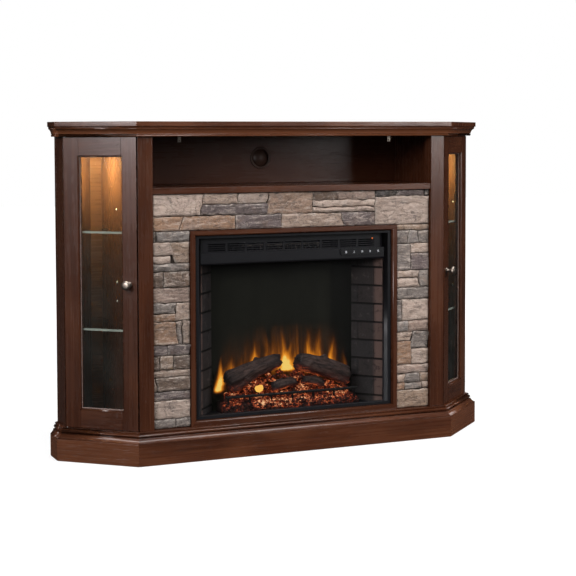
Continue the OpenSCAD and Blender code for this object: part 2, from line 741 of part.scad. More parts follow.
// Bush for the cord, held by a nut inside the rear wall
module cord_gland() color("#1c1c1e") placed() translate([gland_x, 0, gland_z]) difference() {
    union() {
        rod_y(gland_r - 0.1, housing_y1 - 12, housing_y1 + 8);
        rod_y(gland_r + 4, housing_y1, housing_y1 + 5);
        translate([0, housing_y1 - sheet_t - 5, 0]) rotate([-90, 0, 0])
            cylinder(r = gland_r + 5, h = 5, $fn = 6);
    }
    rod_y(gland_r - 4, housing_y1 - 13, housing_y1 + 9);
}

// Flat flange with a bevel down each side of the opening
module face_frame() color("#323236") placed() {
    both() slab(insert_z0, insert_z1, [[insert_x, frame_setback],
        [insert_x - flange_w, frame_setback], [inner_x, nose_y], [inner_x, frame_back_y],
        [insert_x, frame_back_y]]);
    block([-inner_x - eps, nose_y, insert_z1 - frame_top],
        [inner_x + eps, frame_back_y, insert_z1]);
    block([-inner_x - bevel_w, frame_setback, insert_z1 - frame_top],
        [inner_x + bevel_w, nose_y, insert_z1]);
    block([-inner_x - eps, nose_y, insert_z0], [inner_x + eps, frame_back_y, floor_z + 7]);
    block([-inner_x - bevel_w, frame_setback, insert_z0],
        [inner_x + bevel_w, nose_y, floor_z + 7]);
}
module front_glass() color("#c4ccd0", 0.35) placed()
    block([-inner_x - 6, frame_back_y, floor_z + 4], [inner_x + 6, pane_y1, hood_z - fit]);

// Folded sheet: nose with a rounded lower edge, ledge and slotted grille.
// Its profile's X is depth and its Y is height.
module hood_nose(inset) {
    round_r = 6;
    reach = screen_y + screen_t - nose_y;
    translate([nose_y + round_r, hood_z + round_r]) circle(r = round_r - inset);
    translate([nose_y + inset, hood_z + round_r])
        square([reach, nose_z1 - hood_z - round_r - inset]);
    translate([nose_y + round_r, hood_z + inset])
        square([reach - round_r, nose_z1 - hood_z - 2 * inset]);
}
module hood_section() {
    back = screen_y + screen_t;
    difference() {
        hood_nose(0);
        hood_nose(sheet_t);
        // Open behind the grille, above the floor of the hood
        translate([grille_y + sheet_t, upper_z]) square([back, hood_h]);
        translate([back, hood_z - eps]) square([back, hood_h]);
    }
    translate([grille_y, nose_z1 - sheet_t]) square([sheet_t, roof_z - nose_z1 + sheet_t]);
}
module heater_hood() color("#2b2b30") placed() difference() {
    along_x(-inner_x, inner_x) hood_section();
    for (i = [-4:4], z = [4, 10, 16, 22])
        bar_x(i * slot_pitch, slot_pitch - 6, grille_y - eps, grille_y + sheet_t + eps, nose_z1 + z, nose_z1 + z + 3);
    for (k = [-2:2]) translate([strip_x + k * button_pitch, 0, strip_z])
        rod_y(button_r + 0.2, nose_y - eps, nose_y + sheet_t + eps);
}

// Rounded strip that holds the push buttons, and the pilot lamp over it
module control_strip() color("#1a1a1d") placed() {
    difference() {
        end = strip_l / 2 - strip_h / 2;
        union() {
            bar_x(strip_x, 2 * end, nose_y - strip_t, nose_y, strip_z - strip_h / 2,
                strip_z + strip_h / 2);
            for (s = [-1, 1]) translate([strip_x + s * end, 0, strip_z])
                rod_y(strip_h / 2, nose_y - strip_t, nose_y);
        }
        for (k = [-2:2]) translate([strip_x + k * button_pitch, 0, strip_z])
            rod_y(button_r + 0.2, nose_y - strip_t - eps, nose_y + eps);
    }
    translate([strip_x + 40, 0, grille_z1 - 6]) rod_y(2, grille_y - 1.5, grille_y);
}
module control_board() color("#2f5a3c") placed() {
    bar_x(strip_x, strip_l - 8, board_y - 1.6, board_y, strip_z - 9, strip_z + 7);
    // Switches under the buttons, and studs to the hood's nose
    for (k = [-2:2]) bar_x(strip_x + k * button_pitch, 6, board_y - 4.5, board_y - 1.6,
        strip_z - 3, strip_z + 3);
    for (k = [-1.5, 1.5]) translate([strip_x + k * button_pitch, 0, strip_z - 3])
        rod_y(2, nose_y + sheet_t, board_y - 1.6);
}
// A cap with a collar behind the nose and a stem that reaches its switch
module button(k) color("#d5d5d8") placed()
    translate([strip_x + k * button_pitch, 0, strip_z]) {
        rod_y(button_r, nose_y - strip_t - 1.4, nose_y + sheet_t + 0.4);
        rod_y(button_r + 1, nose_y + sheet_t + 0.3, nose_y + sheet_t + 1.3);
        rod_y(1.5, nose_y + sheet_t + 1, board_y - 4.5 - button_travel - 0.2);
    }
module power_button() button(2);
module flame_button() button(1);
module timer_button() button(0);
module low_heat_button() button(-1);
module high_heat_button() button(-2);

// ---- Fire ----
// Inner face of the right brick panel at the depth y
function brick_x(y) = inner_x + 2 - brick_splay * (y - brick_y) / brick_d;
module brick_strip(y0, y1, z0, z1, from, to) slab(z0, z1, [[brick_x(y0) + from, y0],
    [brick_x(y0) + to, y0], [brick_x(y1) + to, y1], [brick_x(y1) + from, y1]]);
module brick_panels() color("#b39a80") placed() both() difference() {
    brick_strip(brick_y, screen_y, floor_z, hood_z, 0, brick_t);
    for (k = [0:7]) {
        z = floor_z + 19 + k * course_h;
        brick_strip(brick_y - eps, screen_y + eps, z - mortar / 2, z + mortar / 2, -eps, mortar);
        joint_y = brick_y + brick_d * (k % 2 == 0 ? 0.28 : 0.78);
        brick_strip(joint_y - mortar / 2, joint_y + mortar / 2, z, z + course_h, -eps, mortar);
    }
}
module flame_screen() color("#1d1a1a") placed()
    bar_x(0, 2 * (screen_x + 2 * brick_t), screen_y, screen_y + screen_t, floor_z, hood_z);

// Height of the embers: rounded lumps that fade towards the edges
function ember_z(a, b) = floor_z + 12 + (ember_h - 14) *
    (0.35 + 0.25 * abs(sin(a * 1300 + b * 200)) + 0.25 * abs(sin(a * 730 - b * 500 + 40))) *
    sin(180 * min(max(a, 0.02), 0.98)) ^ 0.4 * (0.55 + 0.45 * sin(180 * b));
module ember_bed() {
    nx = 44;
    ny = 8;
    y0 = brick_y + 12;
    y1 = screen_y - 4;
    n = (nx + 1) * (ny + 1);
    top = [for (i = [0:nx], j = [0:ny])
        [ember_w * (2 * i / nx - 1), y0 + (y1 - y0) * j / ny, ember_z(i / nx, j / ny)]];
    low = [for (p = top) [p.x, p.y, floor_z]];
    function at(i, j) = i * (ny + 1) + j;
    // Outline of the grid, anticlockwise from above
    rim = concat([for (i = [0:nx - 1]) at(i, 0)], [for (j = [0:ny - 1]) at(nx, j)],
        [for (i = [nx:-1:1]) at(i, ny)], [for (j = [ny:-1:1]) at(0, j)]);
    m = len(rim);
    color("#7a2f16") placed() {
        // Pegs that carry the logs
        for (e = concat([left_ends, right_ends], front_ends), t = [0.2, 0.8]) {
            p = underside(e, t);
            translate([p.x, p.y, 0]) rod_z(3, floor_z, p.z - fit);
        }
        polyhedron(concat(top, low), concat(
            [for (i = [0:nx - 1], j = [0:ny - 1]) each [
                [at(i, j), at(i, j + 1), at(i + 1, j + 1)],
                [at(i, j), at(i + 1, j + 1), at(i + 1, j)]]],
            [for (i = [0:nx - 1], j = [0:ny - 1]) each [
                [n + at(i, j), n + at(i + 1, j + 1), n + at(i, j + 1)],
                [n + at(i, j), n + at(i + 1, j), n + at(i + 1, j + 1)]]],
            [for (k = [0:m - 1]) let(p = rim[k], q = rim[(k + 1) % m]) each [
                [p, q, n + q], [p, n + q, n + p]]]));
    }
}

// A log from a to b. Its radius falls from r0 to r1 and swells and dips with the angle.
function log_radius(r0, r1, t, angle, seed) = (r0 + (r1 - r0) * t) *
    (1 + 0.07 * sin(3 * angle + seed * 50 + t * 150) + 0.05 * sin(5 * angle - t * 210));
function log_point(a, b, r0, r1, t, angle, seed) =
    let(d = unit(b - a), side = unit(cross(d, [0, 0, 1])), up = cross(side, d),
        r = log_radius(r0, r1, t, angle, seed))
    a + (b - a) * t + [0, 0, 5 * sin(180 * t)] + r * (cos(angle) * side + sin(angle) * up);
module log_piece(a, b, r0, r1, seed) {
    sides = 18;
    rings = 12;
    points = [for (i = [0:rings], k = [0:sides - 1])
        log_point(a, b, r0, r1, i / rings, 360 * k / sides, seed)];
    ends = [a, b];
    n = len(points);
    polyhedron(concat(points, ends), concat(
        [for (i = [0:rings - 1], k = [0:sides - 1]) let(m = (k + 1) % sides) each [
            [i * sides + k, i * sides + m, (i + 1) * sides + m],
            [i * sides + k, (i + 1) * sides + m, (i + 1) * sides + k]]],
        [for (k = [0:sides - 1]) [n, (k + 1) % sides, k]],
        [for (k = [0:sides - 1]) [n + 1, rings * sides + k, rings * sides + (k + 1) % sides]]));
}
// Ends and radii of each log: [low end, high end, radius, radius, seed]
left_ends = [[-log_l + 2, log_y, log_z], [-25, log_y, log_z + 56], log_r * 1.3, log_r * 0.75, 1];
right_ends = [[log_l, log_y, log_z - 6], [25, log_y, log_z + 50], log_r * 1.2, log_r, 2];
front_ends = [[[90 - log_l, log_y - 16, log_z - 22], [12, log_y - 18, log_z - 8], 14, 12, 3],
    [[log_l - 82, log_y - 14, log_z - 24], [24, log_y - 18, log_z - 12], 12, 9, 4]];
module log_of(e) log_piece(e[0], e[1], e[2], e[3], e[4]);
module left_log() color("#8a7460") placed() log_of(left_ends);
module right_log() color("#8a7460") placed() log_of(right_ends);
module front_logs() color("#7a6654") placed() for (e = front_ends) log_of(e);

// Height of a log's underside at the share t of its length
function underside(e, t) = log_point(e[0], e[1], e[2], e[3], t, 270, e[4]);
module log_grate() color("#242426") placed() {
    bar = 4;
    y0 = brick_y + 2 + bar;
    translate([0, y0, floor_z + ember_h + bar]) rod_x(bar, -ember_w, ember_w);
    for (x = [-3:3]) translate([x * (ember_w - 8) / 3, y0, 0])
        rod_z(bar - 1, floor_z, floor_z + ember_h + bar);
}

// Reflector barrel that throws moving light on the flame screen
module flame_rotor() color("#c8c8cc") placed() translate([0, rotor_y, rotor_z]) {
    shaft = 3;
    rod_x(shaft, -rotor_l - 24, rotor_l + 34);
    for (x = [-rotor_l, 0, rotor_l - 3]) rod_x(rotor_r * 0.6, x, x + 3);
    for (k = [0:5]) rotate([k * 60, 0, 0]) for (i = [0:7])
        block([-rotor_l + i * rotor_l / 4, -0.6, 2], [-rotor_l + (i + 0.7) * rotor_l / 4, 0.6,
            rotor_r - (i % 2) * 4]);
}
// Bearing bracket on the left, and the geared motor on the right
module rotor_drive() color("#6e6e74") placed() {
    bore = 3.06;
    difference() {
        block([-rotor_l - 20, rotor_y - 10, floor_z], [-rotor_l - 16, rotor_y + 10, rotor_z + 12]);
        translate([0, rotor_y, rotor_z]) rod_x(bore, -rotor_l - 21, -rotor_l - 15);
    }
    difference() {
        union() {
            translate([0, rotor_y, rotor_z]) rod_x(20, rotor_l + 16, rotor_l + 40);
            block([rotor_l + 16, rotor_y - 14, floor_z], [rotor_l + 40, rotor_y + 14, rotor_z]);
        }
        translate([0, rotor_y, rotor_z]) rod_x(bore, rotor_l + 15, rotor_l + 35);
    }
}
module lamp_strip() color("#e8e4d8") placed() {
    y0 = screen_y + screen_t + 3;
    bar_x(0, 2 * rotor_l - 20, y0, y0 + 8, floor_z, floor_z + 3);
    for (i = [-5:5]) bar_x(i * (rotor_l - 30) / 5, 6, y0 + 1, y0 + 7, floor_z + 3, floor_z + 5);
}

// Crossflow wheel: curved blades between discs on one shaft
module blower_wheel() color("#9a9aa0") placed() translate([-20, wheel_y, wheel_z]) {
    shaft = 3;
    blade_r = 5;
    rod_x(shaft, -wheel_l / 2 - 12, wheel_l / 2 + 16);
    for (x = [-wheel_l / 2, -1, wheel_l / 2 - 2]) rod_x(wheel_r, x, x + 2);
    along_x(-wheel_l / 2 + eps, wheel_l / 2 - eps) for (k = [0:blade_count - 1])
        rotate(k * 360 / blade_count) translate([wheel_r - 4, 0]) difference() {
            circle(r = blade_r);
            translate([0.3, -0.6]) circle(r = blade_r - 0.4);
            translate([-blade_r - eps, -blade_r - eps])
                square([2 * blade_r + 2 * eps, blade_r + eps]);
            translate([-blade_r - eps, -eps]) square([blade_r, blade_r + 2 * eps]);
        }
}
// Half scroll with two end plates and the fan motor
module blower_case() color("#55555c") placed() translate([-20, wheel_y, wheel_z]) {
    gap = wheel_r + 4;
    half = wheel_l / 2 + 4;
    base = upper_z - wheel_z;
    difference() {
        along_x(-half, half) difference() {
            circle(r = gap + 2);
            circle(r = gap);
            translate([-gap - 3, -gap - 3]) square([gap + 3, 2 * gap + 6]);
        }
        // Inlet through the lower rear of the scroll
        for (x = [-1, 1]) bar_x(x * half / 2, half - 12, gap * 0.5, gap + 3, -gap * 0.7, gap * 0.3);
    }
    block([-half, -28, gap], [half, 0, gap + 2]);
    for (s = [-1, 1]) difference() {
        x = s > 0 ? half : -half - 2;
        block([x, -34, base], [x + 2, gap + 4, gap + 2]);
        rod_x(3.06, x - eps, x + 2 + eps);
    }
    difference() {
        rod_x(18, half + 2, half + 34);
        rod_x(3.06, half + 1, half + 16);
    }
}
// Ribbon heater on two rails in front of the wheel
module heating_element() color("#a89a86") placed() translate([-20, wheel_y - wheel_r - 24, 0]) {
    z0 = upper_z;
    for (z = [z0, z0 + 44]) bar_x(0, wheel_l, 0, 14, z, z + 4);
    for (i = [-8:8]) bar_x(i * wheel_l / 18, 2, 2, 12, z0 + 3, z0 + 45);
}

top_panel();
crown_moulding();
head_rails();
plinth_boards();
plinth_moulding();
bottom_deck();
front_posts();
partitions();
side_panels();
rear_corner_panels();
rear_frame();
cabinet_ceilings();
media_back_panel();
media_shelf();
top_brackets();
firebox_trim();
left_stone_panel();
right_stone_panel();
top_stone_panel();
left_door_frame();
left_door_glass();
left_glazing_strips();
left_knob();
left_pivots();
right_door_frame();
right_door_glass();
right_glazing_strips();
right_knob();
right_pivots();
pivot_sockets();
door_catches();
glass_shelves();
shelf_pins();
puck_lamps();
insert_runners();
insert_housing();
cord_gland();
face_frame();
front_glass();
heater_hood();
control_strip();
control_board();
power_button();
flame_button();
timer_button();
low_heat_button();
high_heat_button();
brick_panels();
flame_screen();
ember_bed();
log_grate();
left_log();
right_log();
front_logs();
flame_rotor();
rotor_drive();
lamp_strip();
blower_wheel();
blower_case();
heating_element();
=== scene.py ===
import math

import bmesh
import bpy
from mathutils import Matrix, Vector, noise


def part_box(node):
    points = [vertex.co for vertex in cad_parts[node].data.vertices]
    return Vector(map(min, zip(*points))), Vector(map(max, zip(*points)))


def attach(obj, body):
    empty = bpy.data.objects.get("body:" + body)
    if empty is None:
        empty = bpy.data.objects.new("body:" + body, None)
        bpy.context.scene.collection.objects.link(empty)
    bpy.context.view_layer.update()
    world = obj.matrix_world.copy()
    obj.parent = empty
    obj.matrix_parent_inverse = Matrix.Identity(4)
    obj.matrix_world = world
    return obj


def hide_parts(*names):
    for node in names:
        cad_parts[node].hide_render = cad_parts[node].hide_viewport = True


bl_info = {
    "name": "Corner Fireplace",
    "version": (1, 0, 0),
    "blender": (4, 5, 0),
    "location": "3D View > Sidebar > Fireplace",
    "description": "Dresses the corner fireplace in stained wood, split stone, glass and fire",
    "category": "Object",
}

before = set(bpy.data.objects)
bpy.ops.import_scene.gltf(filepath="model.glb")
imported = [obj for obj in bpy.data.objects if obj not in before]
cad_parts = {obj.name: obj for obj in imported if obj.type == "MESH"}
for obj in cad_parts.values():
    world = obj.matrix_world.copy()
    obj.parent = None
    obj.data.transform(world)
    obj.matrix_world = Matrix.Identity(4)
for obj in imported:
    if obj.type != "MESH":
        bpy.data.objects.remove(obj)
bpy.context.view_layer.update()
MM = 0.001
# Front face of the body, and the planes that the firebox and the doors are set out from
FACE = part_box("front_posts")[0].y
DOOR_ANGLE = math.radians(42.5)
FRONT_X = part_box("front_posts")[1].x


def colour(name, description, default):
    return bpy.props.FloatVectorProperty(
        name=name, description=description, default=default, size=3, min=0, max=1,
        subtype="COLOR")


def length(name, description, default, low=0.0):
    return bpy.props.FloatProperty(
        name=name, description=description, default=default, min=low, unit="LENGTH",
        subtype="DISTANCE")


def level(name, description, default, high=10.0):
    return bpy.props.FloatProperty(
        name=name, description=description, default=default, min=0, max=high)


class WoodSettings(bpy.types.PropertyGroup):
    dark: colour("Dark grain", "Colour of the late wood under the stain", (0.036, 0.0105, 0.005))
    mid: colour("Stain", "Main colour of the stained wood", (0.094, 0.0285, 0.0125))
    light: colour("Light grain", "Colour of the open grain", (0.15, 0.051, 0.022))
    gloss: level("Roughness", "Roughness of the lacquer", 0.27, 1)
    edge: length("Edge radius", "Rounding of the woodwork's edges", 0.0012)


class StoneSettings(bpy.types.PropertyGroup):
    step: length("Mesh step", "Spacing of the points on a stone's face", 0.0032, 0.002)
    joint: length("Joint", "Width of the joint between stones", 0.0008)
    mortar: colour("Mortar", "Colour of the board behind the stones", (0.03, 0.023, 0.019))
    tint: colour("Tint", "Colour that all the stones are multiplied by", (1.0, 1.0, 1.0))


class MetalSettings(bpy.types.PropertyGroup):
    black: colour("Black metal", "Colour of the firebox's enamel", (0.0078, 0.0076, 0.0092))
    nickel: colour("Nickel", "Colour of the knobs and brackets", (0.2, 0.168, 0.142))
    steel: colour("Steel", "Colour of the hidden steel", (0.42, 0.42, 0.43))
    glass_edge: colour("Glass edge", "Colour of the glass shelves' edges", (0.34, 0.375, 0.33))


class FireSettings(bpy.types.PropertyGroup):
    flame: level("Flames", "Strength of the light on the flame screen", 0.9, 50)
    ember: level("Embers", "Strength of the glow in the embers", 1.0, 50)
    hot: colour("Hot", "Colour of the hottest light", (1.0, 0.62, 0.32))
    warm: colour("Warm", "Colour of the cooler light", (0.66, 0.12, 0.03))


class StudioSettings(bpy.types.PropertyGroup):
    key: level("Key light", "Power of the large lamp on the left, in watts", 125, 2000)
    fill: level("Fill light", "Power of the lamp in front, in watts", 105, 2000)
    top: level("Top light", "Power of the lamp overhead, in watts", 40, 2000)
    sheen: level("Sheen", "Power of the panel that the left door mirrors, in watts", 94, 2000)
    edges: level("Edges", "Power of the panel that the rounded edges mirror, in watts", 400, 2000)
    ambient: level("Ambient", "Strength of the even light from all round", 0.5)
    puck: level("Cabinet lamps", "Power of each lamp in a cabinet, in watts", 10.6, 50)


def settings(group):
    return getattr(bpy.context.scene, "fireplace_" + group)


def maths(operation, swapped=False):
    """A method that puts a Math node after a value"""
    def method(self, *others):
        sides = (*others, self) if swapped else (self, *others)
        return self.finish.node("ShaderNodeMath", {"operation": operation},
                                dict(enumerate(sides)))
    return method


class Value:
    """A socket that Python expressions are worked out on, each as a Math node"""

    def __init__(self, finish, socket):
        self.finish, self.socket = finish, socket

    __add__ = __radd__ = maths("ADD")
    __sub__, __rsub__ = maths("SUBTRACT"), maths("SUBTRACT", True)
    __mul__ = __rmul__ = maths("MULTIPLY")
    __truediv__, __pow__, __abs__ = maths("DIVIDE"), maths("POWER"), maths("ABSOLUTE")
    floor, part = maths("FLOOR"), maths("FRACT")
    over, larger = maths("GREATER_THAN"), maths("MAXIMUM")

    def ease(self, low, high):
        """A smooth step from 0 at low to 1 at high, which may be the smaller of the two"""
        up = low < high
        return self.finish.node(
            "ShaderNodeMapRange", {"interpolation_type": "SMOOTHSTEP"},
            {"Value": self, "From Min": min(low, high), "From Max": max(low, high),
             "To Min": 0.0 if up else 1.0, "To Max": 1.0 if up else 0.0})


class Finish:
    """The nodes of a material, or of the world, put together one by one"""

    def __init__(self, owner, output="ShaderNodeOutputMaterial"):
        self.owner = owner
        owner.use_nodes = True
        self.tree = owner.node_tree
        self.tree.nodes.clear()
        self.output = self.tree.nodes.new(output)
        self.column = 0

    def put(self, socket, value):
        if isinstance(value, Value):
            self.tree.links.new(value.socket, socket)
        elif socket.type == "RGBA":
            socket.default_value = (*value, 1.0)
        else:
            socket.default_value = value

    def node(self, kind, options=None, inputs=None, out=0):
        """Any node: its options are set first, then its sockets by name or number"""
        made = self.tree.nodes.new(kind)
        self.column += 1
        made.location = (-220 * (self.column % 12), -180 * (self.column // 12))
        for key, value in (options or {}).items():
            setattr(made, key, value)
        for key, value in (inputs or {}).items():
            self.put(made.inputs[key], value)
        return Value(self, made.outputs[out])

    def place(self, scale=(1, 1, 1), shift=(0, 0, 0), source=None):
        """The object's own coordinates in metres, or an attribute of the piece"""
        if source:
            point = self.attribute(source, "Vector")
        else:
            point = self.node("ShaderNodeTexCoord", out="Object")
        return self.node("ShaderNodeMapping", {}, {
            "Vector": point, "Location": shift, "Scale": scale})

    def axes(self, point):
        split = self.tree.nodes.new("ShaderNodeSeparateXYZ")
        self.put(split.inputs[0], point)
        return [Value(self, s) for s in split.outputs]

    def attribute(self, name, out="Fac"):
        return self.node("ShaderNodeAttribute", {"attribute_name": name}, out=out)

    def cloud(self, point, scale, detail, rough=0.55, warp=0.0):
        return self.node("ShaderNodeTexNoise", {}, {
            "Vector": point, "Scale": scale, "Detail": detail, "Roughness": rough,
            "Distortion": warp})

    def cells(self, point, scale, feature="F1", jitter=1.0):
        return self.node("ShaderNodeTexVoronoi", {"feature": feature}, {
            "Vector": point, "Scale": scale, "Randomness": jitter}, out="Distance")

    def blend(self, share, first, second, mode="MIX"):
        """A mix of two colours"""
        return self.node("ShaderNodeMix", {"data_type": "RGBA", "blend_type": mode}, {
            0: share, 6: first, 7: second}, out=2)

    def coats(self, shade, *layers):
        """Lays colours over one another, each by its share"""
        for share, over in layers:
            shade = self.blend(share, shade, over)
        return shade

    def ramp(self, value, *stops):
        made = self.node("ShaderNodeValToRGB", {}, {0: value})
        elements = made.socket.node.color_ramp.elements
        while len(elements) < len(stops):
            elements.new(1.0)
        for element, (place, shade) in zip(elements, stops):
            element.position, element.color = place, (*shade, 1.0)
        return made

    def bump(self, height, distance, strength, under=None):
        inputs = {"Height": height, "Distance": distance, "Strength": strength}
        if under:
            inputs["Normal"] = under
        return self.node("ShaderNodeBump", {}, inputs)

    def mix(self, share, first, second):
        return self.node("ShaderNodeMixShader", {}, {0: share, 1: first, 2: second})

    def done(self, shader):
        self.put(self.output.inputs["Surface"], shader)
        return self.owner

    def paint(self, **sockets):
        """A Principled shader. A socket's name has an underscore for each space."""
        return self.done(self.node("ShaderNodeBsdfPrincipled", {}, {
            key.replace("_", " "): value for key, value in sockets.items()}))


MADE = {}


def finish(name):
    """The material of that name, made when it is first asked for"""
    if name not in MADE:
        MADE[name] = RECIPES[name](Finish(bpy.data.materials.new(name)))
    return MADE[name]


# ---- Finishes ----
def times(shade, by):
    return tuple(c * by for c in shade)


def stained_wood(f, point, lively=1.0, shine=0.26):
    s = settings("wood")

    def along(scale, detail, *rest):
        stretched = f.node("ShaderNodeMapping", {}, {"Vector": point, "Scale": scale})
        return f.cloud(stretched, 1.0, detail, *rest)
    figure = along((1.1, 13, 13), 5.0, 0.6, 0.8)
    streak = along((3.5, 150, 150), 3.0, 0.6, 0.3)
    pores = along((26, 900, 900), 2.0).ease(0.6, 0.74)
    blotch = along((3.2, 7, 7), 3.0, 0.5, 0.4)
    board = f.attribute("board")
    # The last two coats, by board, darken or lighten each board: its stain, and painted light and
    # shade by the side that it faces
    shade = f.coats(
        s.dark, ((figure.ease(0.28, 0.7) - 0.5) * 0.8 * lively + 0.4, s.mid),
        (blotch.ease(0.48, 0.68) * 0.45 * lively, s.light),
        (streak.ease(0.42, 0.78) * 0.35 * lively, s.light),
        (streak.ease(0.5, 0.28) * 0.4 * lively, s.dark),
        (pores * 0.5 * lively, times(s.dark, 0.5)),
        (board * 0.6, times(s.mid, 0.4)), (board * -1.0, times(s.light, 1.3)))
    handled = f.cloud(point, 7.0, 3.0)
    rough = (streak - 0.5) * 0.1 + (handled - 0.5) * 0.16 + s.gloss + pores * 0.1
    return f.paint(Base_Color=shade, Roughness=rough, Specular_IOR_Level=shine,
                   Coat_Weight=shine * 0.23, Coat_Roughness=0.14,
                   Normal=f.bump(streak * 0.35 - pores, 0.00035, 0.5))


def bead_lacquer(f):
    """Pale colour on the slim beads: a painted highlight under the lacquer's gloss"""
    painted_highlight_share = f.cloud(f.place(), 40.0, 4.0, 0.6)
    return f.paint(Base_Color=f.blend(painted_highlight_share, (0.3, 0.21, 0.185), (0.16, 0.105, 0.09)),
                   Roughness=0.2 + painted_highlight_share * 0.15, Specular_IOR_Level=0.5)


def split_stone(f):
    s = settings("stone")
    at = f.place(source="stone_at")
    flat = f.place((0.28, 1, 1.7), source="stone_at")
    tone = f.blend(1.0, f.attribute("tone", "Color"), s.tint, "MULTIPLY")
    broad = f.cloud(at, 19.0, 6.0, 0.65, 0.7)
    mid = f.cloud(f.place((0.7, 1, 1.4), source="stone_at"), 60.0, 6.0, 0.7, 1.2)
    layers = f.cloud(flat, 52.0, 6.0, 0.68, 1.6)
    fine = f.cloud(at, 260.0, 4.0, 0.65)
    crack = abs(f.cloud(f.place((0.8, 1, 1.25), source="stone_at"), 13.0, 6.0, 0.62, 1.4)
                - 0.5).ease(0.012, 0.0)
    split = abs(f.cloud(flat, 27.0, 5.0, 0.6, 0.8) - 0.5).ease(0.016, 0.0)
    # Painted highlight along the stones' edges, where the relief catches the light
    painted_highlight_share = f.attribute("rim") * mid.ease(0.44, 0.56)
    shade = f.coats(
        tone, (broad.ease(0.52, 0.72) * 0.35, (0.29, 0.175, 0.115)),
        (broad.ease(0.46, 0.3) * 0.35, (0.28, 0.25, 0.24)),
        (layers.ease(0.53, 0.66) * 0.5, (0.62, 0.51, 0.44)),
        (layers.ease(0.47, 0.33) * 0.56, (0.075, 0.056, 0.05)),
        (mid.ease(0.52, 0.68) * 0.4, (0.6, 0.49, 0.42)),
        (mid.ease(0.47, 0.32) * 0.46, (0.1, 0.077, 0.067)),
        ((fine - 0.5).ease(0.03, 0.2) * 0.25, (0.6, 0.51, 0.45)),
        ((0.5 - fine).ease(0.03, 0.2) * 0.3, (0.1, 0.078, 0.068)),
        (crack * 0.65, (0.05, 0.036, 0.031)), (split * 0.35, (0.07, 0.052, 0.045)),
        (painted_highlight_share * 0.55, (0.66, 0.59, 0.53)))
    relief = f.bump(fine, 0.0008, 0.8)
    relief = f.bump(mid + layers - crack * 0.5 - split * 0.3, 0.0032, 0.75, relief)
    return f.paint(Base_Color=shade, Roughness=0.62 + fine * 0.25, Specular_IOR_Level=0.2,
                   Normal=relief)


def mortar(f):
    grain = f.cloud(f.place(), 420.0, 4.0, 0.7)
    patch = f.cloud(f.place(), 24.0, 4.0)
    shade = f.coats(settings("stone").mortar, (patch.ease(0.45, 0.7) * 0.2, (0.2, 0.165, 0.13)),
                    (grain * 0.5, (0.03, 0.024, 0.02)))
    return f.paint(Base_Color=shade, Roughness=0.92, Specular_IOR_Level=0.1,
                   Normal=f.bump(grain, 0.0008, 0.8))


def enamel(f, shade, rough, distance=0.00012):
    grit = f.cloud(f.place(), 1500.0, 3.0, 0.6)
    dust = f.cloud(f.place(), 30.0, 4.0, 0.6)
    tone = f.blend((dust - 0.4) * 0.5, shade, tuple(c * 1.5 + 0.003 for c in shade))
    return f.paint(Base_Color=tone, Roughness=(grit - 0.5) * 0.2 + rough + (dust - 0.5) * 0.12,
                   Specular_IOR_Level=0.16, Normal=f.bump(grit, distance, 0.5))


def key_mark(f):
    """Pale print on the push buttons, with a faint painted glow"""
    wear = f.cloud(f.place(), 900.0, 3.0)
    return f.paint(Base_Color=f.blend(wear * 0.3, (0.4, 0.4, 0.42), (0.25, 0.25, 0.27)),
                   Roughness=0.4, Emission_Color=(0.8, 0.82, 0.9), Emission_Strength=0.3)


def metal(f, shade, rough, brushed):
    line = f.cloud(f.place(brushed), 260.0, 4.0, 0.65)
    smear = f.cloud(f.place(), 35.0, 3.0)
    return f.paint(Base_Color=f.blend(smear * 0.5, shade, times(shade, 0.72)), Metallic=1.0,
                   Roughness=(line - 0.5) * 0.16 + rough + (smear - 0.5) * 0.12,
                   Normal=f.bump(line, 0.00004, 0.35))


def thin_glass(f, clear, level_low, level_high, rough, dusty=0.0):
    """A pane: clear straight on, and a mirror at a low angle"""
    facing = f.node("ShaderNodeLayerWeight", {}, {"Blend": 0.5}, out="Facing")
    smear = f.cloud(f.place(), 12.0, 4.0, 0.6)
    through = f.node("ShaderNodeBsdfTransparent", {}, {"Color": clear})
    gloss = f.node("ShaderNodeBsdfGlossy", {}, {"Color": (1, 1, 1), "Roughness": rough})
    share = facing ** 5.0 * level_high + level_low * (0.8 + smear * 0.4)
    dust = f.node("ShaderNodeBsdfDiffuse", {}, {"Color": (0.6, 0.72, 0.68)})
    clean = f.mix(share, through, gloss)
    return f.done(f.mix((smear.ease(0.3, 0.7) + 0.6) * dusty, clean, dust))


def glass_edge(f):
    """The cut edge of a glass shelf, painted pale with a faint glow: a painted highlight"""
    line = f.cloud(f.place((1, 1, 4)), 60.0, 3.0)
    shade = settings("metal").glass_edge
    tone = f.blend(line, shade, times(shade, 0.6))
    return f.paint(Base_Color=tone, Roughness=0.12, Emission_Color=tone, Emission_Strength=0.06)


